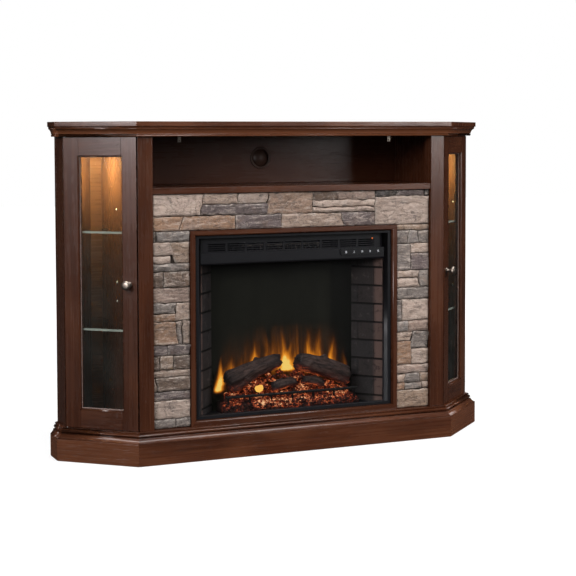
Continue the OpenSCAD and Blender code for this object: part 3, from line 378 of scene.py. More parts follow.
def fire_brick(f):
    high_brick, long_brick = 0.054, 0.074
    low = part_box("brick_panels")[0]
    x, y, z = f.axes(f.place(shift=(0, -low.y, -low.z - 0.019)))
    course = (z / high_brick).floor()
    far = (y / long_brick - 0.28 - (course * 0.5).part()).over(0.0)
    which = f.node("ShaderNodeCombineXYZ", {}, {0: course, 1: far, 2: x.over(0.0)})
    pick = f.node("ShaderNodeTexWhiteNoise", {"noise_dimensions": "3D"}, {"Vector": which})
    stain = f.cloud(f.place(), 45.0, 6.0, 0.68, 0.5)
    fine = f.cloud(f.place(), 420.0, 4.0, 0.7)
    back = (y / long_brick).ease(0.18, 0.34)
    joint = abs((z / high_brick + 0.5).part() - 0.5).ease(0.07, 0.04)
    shade = f.coats(
        (0.13, 0.08, 0.068), (back, (0.021, 0.019, 0.0195)),
        (fine.ease(0.56, 0.7) * 0.3, (0.085, 0.08, 0.08)), (pick * 0.35, (0.04, 0.026, 0.022)),
        (stain.ease(0.56, 0.7) * 0.3, (0.12, 0.1, 0.09)),
        (stain.ease(0.48, 0.3) * 0.7, (0.012, 0.01, 0.01)),
        (joint * 0.95, (0.0025, 0.002, 0.002)))
    return f.paint(Base_Color=shade, Roughness=0.85, Specular_IOR_Level=0.15,
                   Normal=f.bump(stain * 0.6 + fine * 0.4, 0.0012, 0.7))


def smoked_screen(f):
    """The dark screen that the flames are thrown on, with a faint glow low down"""
    low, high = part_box("flame_screen")
    x, _, z = f.axes(f.place(shift=(0, 0, -low.z)))
    haze = f.cloud(f.place((1, 1, 0.35)), 14.0, 4.0, 0.6, 0.6)
    shade = f.coats((0.0065, 0.0066, 0.005), (haze, (0.014, 0.014, 0.0105)),
                    (x.ease(0.145, 0.16) * 0.6, (0.003, 0.003, 0.003)))
    inner = (0.2 - abs(x)).ease(0.0, 0.05)
    glow = f.blend((z / (high.z - low.z)).ease(0.6, 0.12) * haze.ease(0.2, 0.75) * inner,
                   (0.0, 0.0, 0.0), (0.045, 0.012, 0.002))
    return f.paint(Base_Color=shade, Roughness=0.35, Specular_IOR_Level=0.1,
                   Emission_Color=glow, Emission_Strength=0.6)


def flame_light(f):
    """Light on the flame screen, by the glow at each point of its sheet"""
    wisp = f.cloud(f.place((1, 1, 0.16)), 260.0, 3.0, 0.6)
    heat = f.attribute("glow") * (0.66 + wisp * 0.68)
    shade = f.ramp(heat, (0.0, (0.13, 0.034, 0.006)), (0.34, (0.36, 0.1, 0.012)),
                   (0.64, (0.72, 0.23, 0.018)), (0.9, (1.0, 0.42, 0.04)),
                   (1.0, (1.0, 0.68, 0.16)))
    return f.paint(Base_Color=(0, 0, 0), Roughness=1.0, Specular_IOR_Level=0.0,
                   Emission_Color=shade, Emission_Strength=settings("fire").flame,
                   Alpha=heat.ease(0.02, 0.78))


def glowing_ember(f):
    s = settings("fire")
    heat = f.attribute("warmth")
    lump = f.cloud(f.place(), 74.0, 5.0, 0.66, 1.4)
    vein = abs(f.cloud(f.place((1, 1, 1.5)), 52.0, 4.0, 0.6, 2.4) - 0.5).ease(0.06, 0.008)
    ash = f.cloud(f.place(), 240.0, 4.0, 0.6)
    shade = f.blend(ash.ease(0.5, 0.7), (0.005, 0.003, 0.0027), (0.024, 0.013, 0.01))
    zone = f.cloud(f.place((1, 1, 1.6)), 24.0, 3.0, 0.5, 0.6).ease(0.4, 0.6)
    fire = (heat * (vein * lump.ease(0.4, 0.58) * 1.1 + lump.ease(0.46, 0.8) * 0.45 + 0.06)
            * (zone * 0.7 + 0.5))
    glow = f.ramp(fire, (0.0, (0.0, 0.0, 0.0)), (0.08, (0.04, 0.005, 0.002)),
                  (0.28, (0.25, 0.035, 0.012)), (0.55, s.warm), (0.8, (0.95, 0.3, 0.1)),
                  (1.0, s.hot))
    glow = f.blend((heat - 1.3).ease(0.0, 0.3), glow, (1.0, 0.55, 0.1))
    return f.paint(Base_Color=shade, Roughness=0.9, Specular_IOR_Level=0.1, Emission_Color=glow,
                   Emission_Strength=s.ember, Normal=f.bump(ash, 0.002, 0.8))


def charred_bark(f):
    s = settings("fire")
    heat = f.attribute("warmth")
    char = f.attribute("char")
    fibre = f.cloud(f.place((0.22, 1, 1), source="bark_at"), 150.0, 6.0, 0.7, 0.5)
    crack = f.cells(f.place((0.3, 1, 1), source="bark_at"), 95.0, "DISTANCE_TO_EDGE")
    patch = f.cloud(f.place(source="bark_at"), 26.0, 5.0, 0.6)
    shade = f.coats(
        (0.009, 0.0055, 0.005), (fibre.ease(0.32, 0.72), (0.056, 0.032, 0.026)),
        (patch.ease(0.52, 0.74) * 0.5, (0.08, 0.053, 0.045)),
        (crack.ease(0.06, 0.0) * 0.7, (0.005, 0.0035, 0.0035)),
        (char * (0.4 + patch), (0.006, 0.004, 0.004)))
    spark = abs(f.cloud(f.place((0.5, 1, 1), source="bark_at"), 120.0, 4.0, 0.7, 1.4)
                - 0.5).ease(0.06, 0.0)
    fire = heat * (spark * patch.ease(0.42, 0.6) * 0.7 + 0.12)
    glow = f.ramp(fire, (0.0, (0.0, 0.0, 0.0)), (0.15, (0.022, 0.003, 0.0015)),
                  (0.35, (0.12, 0.018, 0.008)), (0.65, s.warm), (1.0, (1.0, 0.36, 0.1)))
    return f.paint(Base_Color=shade, Roughness=0.85, Specular_IOR_Level=0.15,
                   Emission_Color=glow, Emission_Strength=s.ember,
                   Normal=f.bump(fibre + crack, 0.0022, 0.8))


def lit(f, fine, detail, first, second, rough, light, power):
    """A small lit cover"""
    grain = f.cloud(f.place(), fine, detail)
    return f.paint(Base_Color=f.blend(grain, first, second), Roughness=rough,
                   Emission_Color=light, Emission_Strength=power)


# A near-black foam that stands in for the shade behind the air slots
def filter_foam(f):
    hole = f.cells(f.place(), 700.0)
    return f.paint(Base_Color=f.blend(hole, (0.004, 0.004, 0.004), (0.02, 0.02, 0.02)),
                   Roughness=0.95, Specular_IOR_Level=0.1)


def circuit_board(f):
    track = f.cells(f.place(), 180.0, "DISTANCE_TO_EDGE", 0.2)
    shade = f.blend(track.ease(0.08, 0.02), (0.012, 0.09, 0.035), (0.1, 0.2, 0.09))
    return f.paint(Base_Color=shade, Roughness=0.4)


def heater_ribbon(f):
    scale = f.cloud(f.place(), 160.0, 4.0)
    return f.paint(Base_Color=f.blend(scale, (0.1, 0.085, 0.075), (0.05, 0.04, 0.035)),
                   Metallic=0.9, Roughness=0.35 + scale * 0.2)


RECIPES = {each.__name__: each for each in (
    bead_lacquer, split_stone, mortar, key_mark, glass_edge, fire_brick, smoked_screen,
    flame_light, glowing_ember, charred_bark, filter_foam, circuit_board, heater_ribbon)}
RECIPES |= {
    "stained_wood_run": lambda f: stained_wood(f, f.place(source="grain")),
    # The evenly stained wood inside the cabinets
    "stained_wood_smooth": lambda f: stained_wood(f, f.place(source="grain"), 0.15, 0.12),
    "stained_wood_level": lambda f: stained_wood(f, f.place()),
    "black_metal": lambda f: enamel(f, settings("metal").black, 0.42),
    # A very dark, rough metal, for the log grate and the blower case
    "sooted_metal": lambda f: enamel(f, (0.005, 0.0045, 0.0045), 0.85, 0.0003),
    "black_plastic": lambda f: enamel(f, (0.012, 0.012, 0.013), 0.3, 0.00005),
    "brown_plastic": lambda f: enamel(f, (0.05, 0.024, 0.016), 0.45),
    "white_plastic": lambda f: enamel(f, (0.62, 0.6, 0.56), 0.4, 0.00004),
    "nickel": lambda f: metal(f, settings("metal").nickel, 0.4, (1, 1, 6)),
    "steel": lambda f: metal(f, settings("metal").steel, 0.34, (1, 5, 1)),
    "door_pane": lambda f: thin_glass(f, (0.97, 0.975, 0.97), 0.01, 0.16, 0.16, 0.007),
    "fire_pane": lambda f: thin_glass(f, (0.97, 0.97, 0.97), 0.006, 0.2, 0.03),
    "shelf_pane": lambda f: thin_glass(f, (0.955, 0.97, 0.96), 0.012, 0.14, 0.03),
    "lamp_lens": lambda f: lit(f, 300.0, 3.0, (0.9, 0.86, 0.76), (0.8, 0.75, 0.64), 0.5,
                               (1.0, 0.78, 0.45), 2.5),
    "pilot_light": lambda f: lit(f, 900.0, 2.0, (0.9, 0.2, 0.05), (0.7, 0.1, 0.02), 0.3,
                                 (1.0, 0.2, 0.04), 0.5),
}


# ---- Making pieces ----
def clamp(value, low=0.0, high=1.0):
    return max(low, min(high, value))


def rough_at(x, y, z):
    """Smooth noise from -1 to 1"""
    return noise.noise(Vector((x, y, z)))


def spot(x, y, z):
    """A point in the frame from millimetres: x from the middle, y behind the front face"""
    return Vector((x * MM, FACE + y * MM, z * MM))


def side_spot(side, u, v, z):
    """A point on a door from millimetres: u from the post, v behind the door's face"""
    c, s = math.cos(DOOR_ANGLE), math.sin(DOOR_ANGLE)
    return Vector((side * (FRONT_X + (u * c - v * s) * MM), FACE + (u * s + v * c) * MM, z * MM))


def repeatable(number):
    """A value from 0 to 1 that varies from one number to the next"""
    return math.sin(number * 127.1 + 31.7) * 43758.5453 % 1.0


def node_copy(node):
    """The mesh of a CAD node, welded, with its flat faces made whole"""
    bm = bmesh.new()
    bm.from_mesh(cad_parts[node].data)
    bmesh.ops.remove_doubles(bm, verts=bm.verts, dist=2e-5)
    bmesh.ops.dissolve_limit(bm, angle_limit=math.radians(0.4), verts=bm.verts, edges=bm.edges)
    return bm


def islands(bm):
    bm.verts.ensure_lookup_table()
    seen, found = set(), []
    for start in bm.verts:
        if start in seen:
            continue
        stack, group = [start], []
        seen.add(start)
        while stack:
            v = stack.pop()
            group.append(v)
            for e in v.link_edges:
                w = e.other_vert(v)
                if w not in seen:
                    seen.add(w)
                    stack.append(w)
        found.append(group)
    return found


def lay_grain(bm, seed=0, depth=0.5):
    """Runs the grain of each board along its longest edge, and gives each its own tone.
    Of edges as long as each other, the one that starts highest says which way the grain runs.
    Three depths are for the boards on the left, in the middle and on the right: their stain, and
    painted light and shade, lighter or darker by the side that they face."""
    grain = bm.verts.layers.float_vector.new("grain")
    board = bm.verts.layers.float.new("board")
    for number, group in enumerate(islands(bm)):
        longest = max((e for v in group for e in v.link_edges),
                      key=lambda e: (e.calc_length(), round(e.verts[0].co.z, 5)))
        along = (longest.verts[1].co - longest.verts[0].co).normalized()
        across = along.cross(Vector((0, 0, 1)) if abs(along.z) < 0.7 else Vector((0, 1, 0)))
        across.normalize()
        deep = along.cross(across)
        shift = Vector([repeatable(number * 3 + seed + k) * 4 for k in range(3)])
        place = sum(v.co.x for v in group) / len(group)
        # Where three depths are given, the side's depth is stain and painted light and shade
        # together
        stain = depth
        if isinstance(depth, tuple):
            stain = depth[1 if abs(place) < 0.2 else 0 if place < 0 else 2]
        tone = stain + 0.3 * repeatable(number + seed * 1.7)
        for v in group:
            v[grain] = Vector((v.co.dot(along), v.co.dot(across), v.co.dot(deep))) + shift
            v[board] = tone


def piece(name, bm, finishes, body="cabinet", stands_for=(), smooth=True):
    """Makes a piece of a bmesh, and lets it ride on its body"""
    mesh = bpy.data.meshes.new(name)
    for face in bm.faces:
        face.smooth = smooth
    bm.to_mesh(mesh)
    bm.free()
    made = bpy.data.objects.new(name, mesh)
    bpy.context.scene.collection.objects.link(made)
    for each in [finishes] if isinstance(finishes, str) else finishes:
        mesh.materials.append(finish(each))
    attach(made, body)
    if stands_for:
        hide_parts(*stands_for)
    return made


def round_edges(made, width, segments=2, angle=28, shortest=0.012):
    """Rounds the long edges of a piece, and leaves those around small holes as they are"""
    bm = bmesh.new()
    bm.from_mesh(made.data)
    weight = bm.edges.layers.float.new("bevel_weight_edge")
    for edge in bm.edges:
        sharp = edge.calc_face_angle(0.0) > math.radians(angle)
        edge[weight] = 1.0 if sharp and edge.calc_length() > shortest else 0.0
    bm.to_mesh(made.data)
    bm.free()
    bevel = made.modifiers.new("Rounded edges", "BEVEL")
    bevel.width = width
    bevel.segments = segments
    bevel.limit_method = "WEIGHT"
    bevel.use_clamp_overlap = True
    flat = made.modifiers.new("Flat faces", "WEIGHTED_NORMAL")
    flat.weight = 80
    flat.keep_sharp = False


def block(bm, low, high):
    """A box from two corners"""
    made = bmesh.ops.create_cube(bm, size=1.0)["verts"]
    bmesh.ops.scale(bm, vec=high - low, verts=made)
    bmesh.ops.translate(bm, vec=(low + high) / 2, verts=made)


def face_out(bm):
    bmesh.ops.recalc_face_normals(bm, faces=bm.faces)


def face_front(bm):
    """Turns the faces of a flat form to the front"""
    face_out(bm)
    if bm.faces[:][0].normal.y > 0:
        bmesh.ops.reverse_faces(bm, faces=bm.faces)


def skirt(bm, edges):
    """Draws a strip out from open edges. Returns its new points."""
    drawn = bmesh.ops.extrude_edge_only(bm, edges=edges)["geom"]
    return [g for g in drawn if isinstance(g, bmesh.types.BMVert)]


def turned(bm, profile, centre, axis, steps=48):
    """A turned form. The profile gives each point's distance along the axis and radius."""
    axis = axis.normalized()
    side = axis.orthogonal().normalized()
    points = [bm.verts.new(centre + axis * a * MM + side * r * MM) for a, r in profile]
    edges = [bm.edges.new(pair) for pair in zip(points, points[1:])]
    bmesh.ops.spin(bm, geom=points + edges, cent=centre, axis=axis, angle=2 * math.pi,
                   steps=steps, use_merge=True)
    bmesh.ops.remove_doubles(bm, verts=bm.verts, dist=1e-6)
    face_out(bm)


# ---- Woodwork ----
# Seed of the grain and depth of the stain of each wooden node; three depths, for the left, middle
# and right boards, also paint in light and shade by the side that they face
BOARDS = {
    "top_panel": (1, -0.3), "crown_moulding": (2, (-0.8, -0.65, -0.7)),
    "plinth_boards": (3, (-0.55, 0.0, -0.6)), "plinth_moulding": (4, (-0.3, 0.1, -0.3)),
    "front_posts": (5, (0.85, 0.6, 0.55)), "side_panels": (6, 0.7),
    "media_shelf": (7, 0.5), "firebox_trim": (8, 0.7), "partitions": (9, 0.7),
    "media_back_panel": (10, 0.9), "cabinet_ceilings": (11, 0.6), "bottom_deck": (12, 0.6),
    "rear_corner_panels": (13, 0.6), "rear_frame": (14, 0.6), "head_rails": (15, 0.6),
}
# Nodes inside the cabinets, with the even finish
INSIDE = ("partitions", "cabinet_ceilings", "rear_corner_panels", "media_back_panel")


class FIREPLACE_OT_woodwork(bpy.types.Operator):
    """Softens the edges of the woodwork and runs its grain along each board"""
    bl_idname = "fireplace.woodwork"
    bl_label = "Woodwork"

    def execute(self, context):
        edge = settings("wood").edge
        for node, (seed, depth) in BOARDS.items():
            bm = node_copy(node)
            lay_grain(bm, seed * 11, depth)
            coats = ["stained_wood_smooth" if node in INSIDE else "stained_wood_run"]
            if node == "side_panels":
                coats.append("stained_wood_smooth")
                for face in bm.faces:
                    inward = face.normal.x * face.calc_center_median().x < 0
                    face.material_index = 1 if inward else 0
            made = piece(node + "_wood", bm, coats, stands_for=[node])
            round_edges(made, edge * 1.2 if node == "plinth_moulding" else edge)
        return {"FINISHED"}


# The outer stile, the rails and the inner stile, from the post in millimetres
DOOR_PARTS = ((None, 49.02), (49.8, 175.818), (176.598, None))
# Slim beads that hold each pane from the front, painted pale as a highlight: from u to u, and from
# z to z
PANE_BEADS = ((49, 176.6, 143.5, 146.3), (49, 176.6, 833.4, 835.5), (49, 51, 146.3, 833.4),
              (174.9, 176.6, 146.3, 833.4))
KNOB = [(-0.5, 0), (-0.5, 8), (1.6, 8.2), (2.6, 7.6), (3.2, 5.6), (6, 4.8), (11, 5.0),
        (14.5, 7.6), (17, 11.0), (19.5, 12.6), (22, 13), (24.5, 12.6), (26.6, 11.0), (28.2, 8.2),
        (28.9, 4.4), (29, 0)]
KNOB_SCREW = [(-0.4, 0), (-0.4, 2), (-20, 2), (-20, 4.4), (-21.4, 4.2), (-22, 3.0), (-22, 0)]


def fill_holes(bm):
    bmesh.ops.holes_fill(bm, edges=[e for e in bm.edges if e.is_boundary])


def cut_frame(side, node):
    """A door frame parted into its two stiles and two rails, with a hairline between them"""
    along = (side_spot(side, 1, 0, 0) - side_spot(side, 0, 0, 0)).normalized()
    whole = bmesh.new()
    for low, high in DOOR_PARTS:
        part = node_copy(node)
        for u, way in ((low, -1), (high, 1)):
            if u is not None:
                bmesh.ops.bisect_plane(part, geom=part.verts[:] + part.edges[:] + part.faces[:],
                                       plane_co=side_spot(side, u, 0, 0), plane_no=along * way,
                                       dist=1e-6, clear_outer=True)
        fill_holes(part)
        bmesh.ops.remove_doubles(part, verts=part.verts, dist=3e-5)
        fill_holes(part)
        mesh = bpy.data.meshes.new("part")
        part.to_mesh(mesh)
        part.free()
        whole.from_mesh(mesh)
        bpy.data.meshes.remove(mesh)
    face_out(whole)
    return whole


class FIREPLACE_OT_doors(bpy.types.Operator):
    """Makes the door frames from stiles and rails, and glazes them"""
    bl_idname = "fireplace.doors"
    bl_label = "Doors"

    def execute(self, context):
        for side, name in ((-1, "left"), (1, "right")):
            body = name + "_door"
            bm = cut_frame(side, name + "_door_frame")
            lay_grain(bm, 40 + side)
            made = piece(name + "_door_wood", bm, "stained_wood_run", body,
                         [name + "_door_frame"])
            round_edges(made, settings("wood").edge * 1.4, 3)
            bm = node_copy(name + "_glazing_strips")
            lay_grain(bm, 50 + side)
            piece(name + "_glazing_wood", bm, "stained_wood_run", body,
                  [name + "_glazing_strips"], smooth=False)
            bm = bmesh.new()
            for u0, u1, z0, z1 in PANE_BEADS:
                for v in bmesh.ops.create_cube(bm, size=1.0)["verts"]:
                    v.co = side_spot(side, u0 + (v.co.x + 0.5) * (u1 - u0), 9.9 + v.co.y * 3.8,
                                     z0 + (v.co.z + 0.5) * (z1 - z0))
            face_out(bm)
            made = piece(name + "_pane_beads", bm, "bead_lacquer", body)
            round_edges(made, 0.0006, shortest=0.001)
            dress(name + "_door_glass", "door_pane")
            dress(name + "_pivots", "steel")
            bm = bmesh.new()
            centre = side_spot(side, 26.5, 0, 489.5)
            out = (side_spot(side, 0, -1, 0) - side_spot(side, 0, 0, 0)).normalized()
            turned(bm, KNOB, centre, out, 56)
            turned(bm, KNOB_SCREW, centre, out, 24)
            piece(name + "_knob_turned", bm, "nickel", body, [name + "_knob"])
        return {"FINISHED"}


def dress(node, finish_name):
    """Gives a CAD node, whose shape stays, a finish"""
    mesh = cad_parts[node].data
    mesh.materials.clear()
    mesh.materials.append(finish(finish_name))


# ---- Split stone ----
# Courses from the top down. A number is one stone's height, or its width inside a course,
# and [size, [...]] is divided again, the other way.
LEFT_COURSES = [
    [29, [12, 97]], [58, [[55, [38, 22]], 54]], 23, [43, [33, 76]], 42,
    [50, [[67, [29, 22]], 42]], [65, [70, 16, 23]], [29, [44, 65]], [39, [20, 37, 46]], 20,
    [38, [8, 101]], 26, 50, [26, [66, 43]]]
RIGHT_COURSES = [
    18, [39, [40, 33, 36]], [79, [48, [61, [27, 52]]]], [50, [[75, [22, 28]], 34]],
    35, [63, [20, 89]], [33, [40, 69]], [96, [[52, [27, 69]], [57, [50, 46]]]], 27,
    [27, [30, 50, 29]], [21, [30, 55, 24]], 53]
TOP_COURSES = [
    [678, [
        [62, [146, [197, [[30, [106, 91]], 30]], 137, [198, [[28, [76, 122]], 20, 17]]]],
        [40, [85, 159, 140, 189, 105]]]],
    [178, [[19, [70, 91, 17]], 83]]]
# Colours of the stones
TONES = {
    "cream": (0.417, 0.316, 0.261), "pale": (0.498, 0.4, 0.322), "beige": (0.336, 0.241, 0.188),
    "tan": (0.262, 0.178, 0.125), "orange": (0.285, 0.164, 0.1), "gold": (0.33, 0.214, 0.152),
    "pink": (0.323, 0.227, 0.183), "grey": (0.182, 0.153, 0.137), "mist": (0.249, 0.217, 0.2),
    "violet": (0.108, 0.081, 0.08), "brown": (0.13, 0.085, 0.061), "dark": (0.026, 0.024, 0.024),
}
LEFT_TONES = (
    "dark mist cream cream tan grey brown brown pink grey orange beige orange grey beige "
    "violet violet brown tan brown beige beige brown violet cream grey grey").split()
RIGHT_TONES = (
    "tan grey mist grey grey cream violet cream cream grey grey grey cream mist pink "
    "beige orange grey cream pink beige grey tan orange grey beige").split()
TOP_TONES = (
    "cream beige cream violet gold brown pink cream cream orange orange violet beige violet "
    "dark violet dark cream").split()
# How far the joint on the right of a stone is moved at its top and at its bottom
LEFT_LEANS = {2: (-6, 10), 9: (3, -3), 12: (-3, 4), 16: (4, -4), 21: (-3, 5)}
RIGHT_LEANS = {1: (3, -4), 2: (-2, 4), 8: (-4, 4), 15: (5, -6), 17: (4, -4)}
TOP_LEANS = {0: (4, -6), 2: (3, -5), 5: (-5, 5), 9: (6, -5), 12: (-5, 6)}


def weight(course):
    return course[0] if isinstance(course, list) else course


def lay(courses, x, z, w, h, across):
    """Rectangles (x, z, width, height) of the stones"""
    whole, before, found = sum(weight(c) for c in courses), 0.0, []
    for course in courses:
        start, share = before / whole, weight(course) / whole
        box = ((x + start * w, z, share * w, h) if across
               else (x, z + h * (1 - start - share), w, share * h))
        found += lay(course[1], *box, not across) if isinstance(course, list) else [box]
        before += weight(course)
    return found


def neighbours(stones, number):
    """Stones whose left joint is the right joint of this one"""
    x, z, w, h = stones[number]
    return [k for k, other in enumerate(stones)
            if abs(other[0] - x - w) < 0.5 and other[1] < z + h - 1 and other[1] + other[3] > z + 1]


def stone_corners(stones, leans, seed):
    """Corners of each stone: left and right at the bottom, then right and left at the top"""
    joint = settings("stone").joint / MM / 2
    corners = []
    for number, (x, z, w, h) in enumerate(stones):
        left, right = [x + joint] * 2, [x + w - joint] * 2
        if number in leans:
            right = [right[0] + leans[number][1], right[1] + leans[number][0]]
        for other, (top, bottom) in leans.items():
            if number in neighbours(stones, other):
                _, oz, _, oh = stones[other]
                # The share of the leaning joint that this stone meets
                low = bottom + (top - bottom) * clamp((z - oz) / oh)
                high = bottom + (top - bottom) * clamp((z + h - oz) / oh)
                left = [left[0] + low, left[1] + high]
        drop = [(repeatable(seed + number * 7 + k) - 0.5) * 1.4 for k in range(4)]
        corners.append([(left[0], z + joint + drop[0]), (right[0], z + joint + drop[1]),
                        (right[1], z + h - joint + drop[2]), (left[1], z + h - joint + drop[3])])
    return corners


def stone_height(x, z, edge, seed, rise):
    """How far a stone's face stands out at a point that is so far in from its edge"""
    shoulder = min(edge / 4.5, 1.0)
    shoulder = (1 - (1 - shoulder) ** 2.2) ** 0.55
    broad = noise.fractal(Vector((x * 0.018, z * 0.024, seed * 3.7)), 0.9, 2.1, 3)
    layer = rough_at(x * 0.012, z * 0.075, seed + 5) ** 2
    chip = abs(rough_at(x * 0.045 + seed, z * 0.062, seed))
    crack = 1 - min(abs(rough_at(x * 0.021, z * 0.033, seed * 1.3 + 9)) / 0.05, 1)
    fine = rough_at(x * 0.16, z * 0.2, seed)
    return max(0.8, (rise + 1.2 + broad * 2.1 + layer * 3.0 - chip * 2.4 + fine * 0.5
                     - crack * 1.6) * shoulder)


def stone_wall(name, x0, x1, z0, z1, courses, across, tones, leans, seed, level=1.0):
    """One wall of stones and the board behind it, at depths in millimetres"""
    step = settings("stone").step / MM
    stones = lay(courses, x0, z0, x1 - x0, z1 - z0, across)
    board_y, back_y = 18.0, 30.0
    bm = bmesh.new()
    tone = bm.verts.layers.float_color.new("tone")
    place = bm.verts.layers.float_vector.new("stone_at")
    rim_at = bm.verts.layers.float.new("rim")
    for number, corner in enumerate(stone_corners(stones, leans, seed)):
        (ax, az), (bx, bz), (cx, cz), (dx, dz) = corner
        wide, high = bx - ax, dz - az
        grid = bmesh.ops.create_grid(bm, x_segments=max(3, round(wide / step)),
                                     y_segments=max(3, round(high / step)), size=0.5)["verts"]
        rise = 5.6 + 3.2 * repeatable(seed + number * 3.1)
        shift = Vector([repeatable(seed + number * 5 + k) * 9 for k in range(3)])
        shade = TONES[tones[number % len(tones)]]
        # lift: a random tone per stone, times the wall's level of painted light and shade
        lift = level * (0.88 + 0.24 * repeatable(seed + number * 2.3))
        rim = [v for v in grid if v.is_boundary]
        for v in grid:
            u, w = v.co.x + 0.5, v.co.y + 0.5
            # More points near the edges, where the face turns over
            u, w = (k - 0.06 * math.sin(4 * math.pi * k) for k in (u, w))
            x = (ax + (bx - ax) * u) * (1 - w) + (dx + (cx - dx) * u) * w
            z = (az + (bz - az) * u) * (1 - w) + (dz + (cz - dz) * u) * w
            edge = min(u * wide, (1 - u) * wide, w * high, (1 - w) * high)
            if edge < 0.5:
                pull = max(0.0, (rough_at(x * 0.06, z * 0.06, seed) + 0.1) * 1.5)
                x += pull if u < 0.01 else -pull if u > 0.99 else 0
                z += pull if w < 0.01 else -pull if w > 0.99 else 0
            # One slow wave for all the stones keeps their joints narrow
            inside = clamp(min(x - x0, x1 - x, z - z0, z1 - z) / 7)
            x, z = (x + 3.4 * inside * rough_at(x * 0.03, z * 0.07, 7.0),
                    z + 3.0 * inside * rough_at(x * 0.045, z * 0.03, 17.0))
            out = 2.2 if edge < 0.5 else stone_height(x, z, edge, seed + number, rise)
            v.co = spot(x, board_y - min(out, 10.0), z)
            v[tone] = (*times(shade, lift), 1)
            v[place] = v.co + shift
            # rim: the share of painted highlight near the stone's edge
            v[rim_at] = math.exp(-max(0.0, edge - 0.8) / 1.5) if edge > 0.5 else 0.0
        outline = [e for v in rim for e in v.link_edges if e.is_boundary]
        for v in skirt(bm, list(dict.fromkeys(outline))):
            v.co.y = FACE + (board_y + 0.4) * MM
    face_out(bm)
    piece(name + "_stones", bm, "split_stone", stands_for=[name + "_stone_panel"])
    bm = bmesh.new()
    block(bm, spot(x0, board_y, z0), spot(x1, back_y, z1))
    piece(name + "_stone_board", bm, "mortar", smooth=False)


class FIREPLACE_OT_stone(bpy.types.Operator):
    """Lays the split stone round the firebox"""
    bl_idname = "fireplace.stone"
    bl_label = "Split stone"

    def execute(self, context):
        low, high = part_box("left_stone_panel")
        out_x, in_x = -low.x / MM, -high.x / MM
        z0, z1, z2 = low.z / MM, high.z / MM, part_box("top_stone_panel")[1].z / MM
        # The left wall is made darker (0.8) and the right wall lighter (1.1): painted shade and
        # light across the front
        stone_wall("left", -out_x, -in_x, z0, z1, LEFT_COURSES, False, LEFT_TONES,
                   LEFT_LEANS, 3, 0.8)
        stone_wall("right", in_x, out_x, z0, z1, RIGHT_COURSES, False, RIGHT_TONES,
                   RIGHT_LEANS, 103, 1.1)
        stone_wall("top", -out_x, out_x, z1, z2, TOP_COURSES, True, TOP_TONES, TOP_LEANS, 203)
        return {"FINISHED"}


# ---- Firebox ----
class FIREPLACE_OT_firebox(bpy.types.Operator):
    """Finishes the face frame, the hood, the housing and the heater behind it"""
    bl_idname = "fireplace.firebox"
    bl_label = "Firebox"

    def execute(self, context):
        for node, coat, edge in (("face_frame", "black_metal", 0.0007),
                                 ("heater_hood", "black_metal", 0.0006),
                                 ("control_strip", "black_plastic", 0.0009),
                                 ("log_grate", "sooted_metal", 0.0)):
            made = piece(node + "_shell", node_copy(node), coat, stands_for=[node])
            round_edges(made, edge or 0.0002)
        for node, name in (("insert_housing", "black_metal"), ("cord_gland", "black_plastic"),
                           ("front_glass", "fire_pane"), ("control_board", "circuit_board"),
                           ("brick_panels", "fire_brick"), ("flame_screen", "smoked_screen"),
                           ("insert_runners", "stained_wood_level"), ("flame_rotor", "steel"),
                           ("rotor_drive", "black_metal"), ("lamp_strip", "white_plastic"),
                           ("blower_wheel", "steel"), ("blower_case", "sooted_metal"),
                           ("heating_element", "heater_ribbon")):
            dress(node, name)
        # A dark foam sheet over the air slots in the rear wall, as painted shade behind the slots
        low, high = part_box("insert_housing")
        bm = bmesh.new()
        block(bm, Vector((-0.23, high.y - 0.006, high.z - 0.07)),
              Vector((0.23, high.y - 0.0022, high.z - 0.006)))
        piece("slot_shade_sheet", bm, "filter_foam", smooth=False)
        # Pilot lamp over the strip
        bm = bmesh.new()
        low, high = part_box("control_strip")
        centre = Vector(((low.x + high.x) / 2 + 0.04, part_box("heater_hood")[0].y + 0.0106,
                         high.z - 0.002))
        turned(bm, [(0, 0), (0, 2.1), (0.5, 2.1), (1.2, 1.5), (1.5, 0)], centre,
               Vector((0, -1, 0)), 20)
        piece("pilot_lamp", bm, "pilot_light")
        return {"FINISHED"}


def arc(bm, centre, radius, wide, start, end, steps=20):
    """A flat band along an arc in the XZ plane, in millimetres and degrees from the top"""
    side = Vector((math.sin(math.radians(start)), 0, math.cos(math.radians(start))))
    points = [bm.verts.new(centre + side * (radius + k * wide / 2) * MM) for k in (-1, 1)]
    edge = bm.edges.new(points)
    full = end - start >= 360
    bmesh.ops.spin(bm, geom=points + [edge], cent=centre, axis=Vector((0, 1, 0)),
                   angle=math.radians(end - start), steps=steps, use_merge=full)


def stroke(bm, centre, points, wide):
    """A flat band through points (x, z) in the XZ plane, in millimetres"""
    for (ax, az), (bx, bz) in zip(points, points[1:]):
        run = Vector((bx - ax, 0, bz - az))
        side = Vector((-run.z, 0, run.x)).normalized() * wide / 2
        tip = run.normalized() * wide * 0.25
        corners = [Vector((ax, 0, az)) - side - tip, Vector((bx, 0, bz)) - side + tip,
                   Vector((bx, 0, bz)) + side + tip, Vector((ax, 0, az)) + side - tip]
        bm.faces.new([bm.verts.new(centre + c * MM) for c in corners])


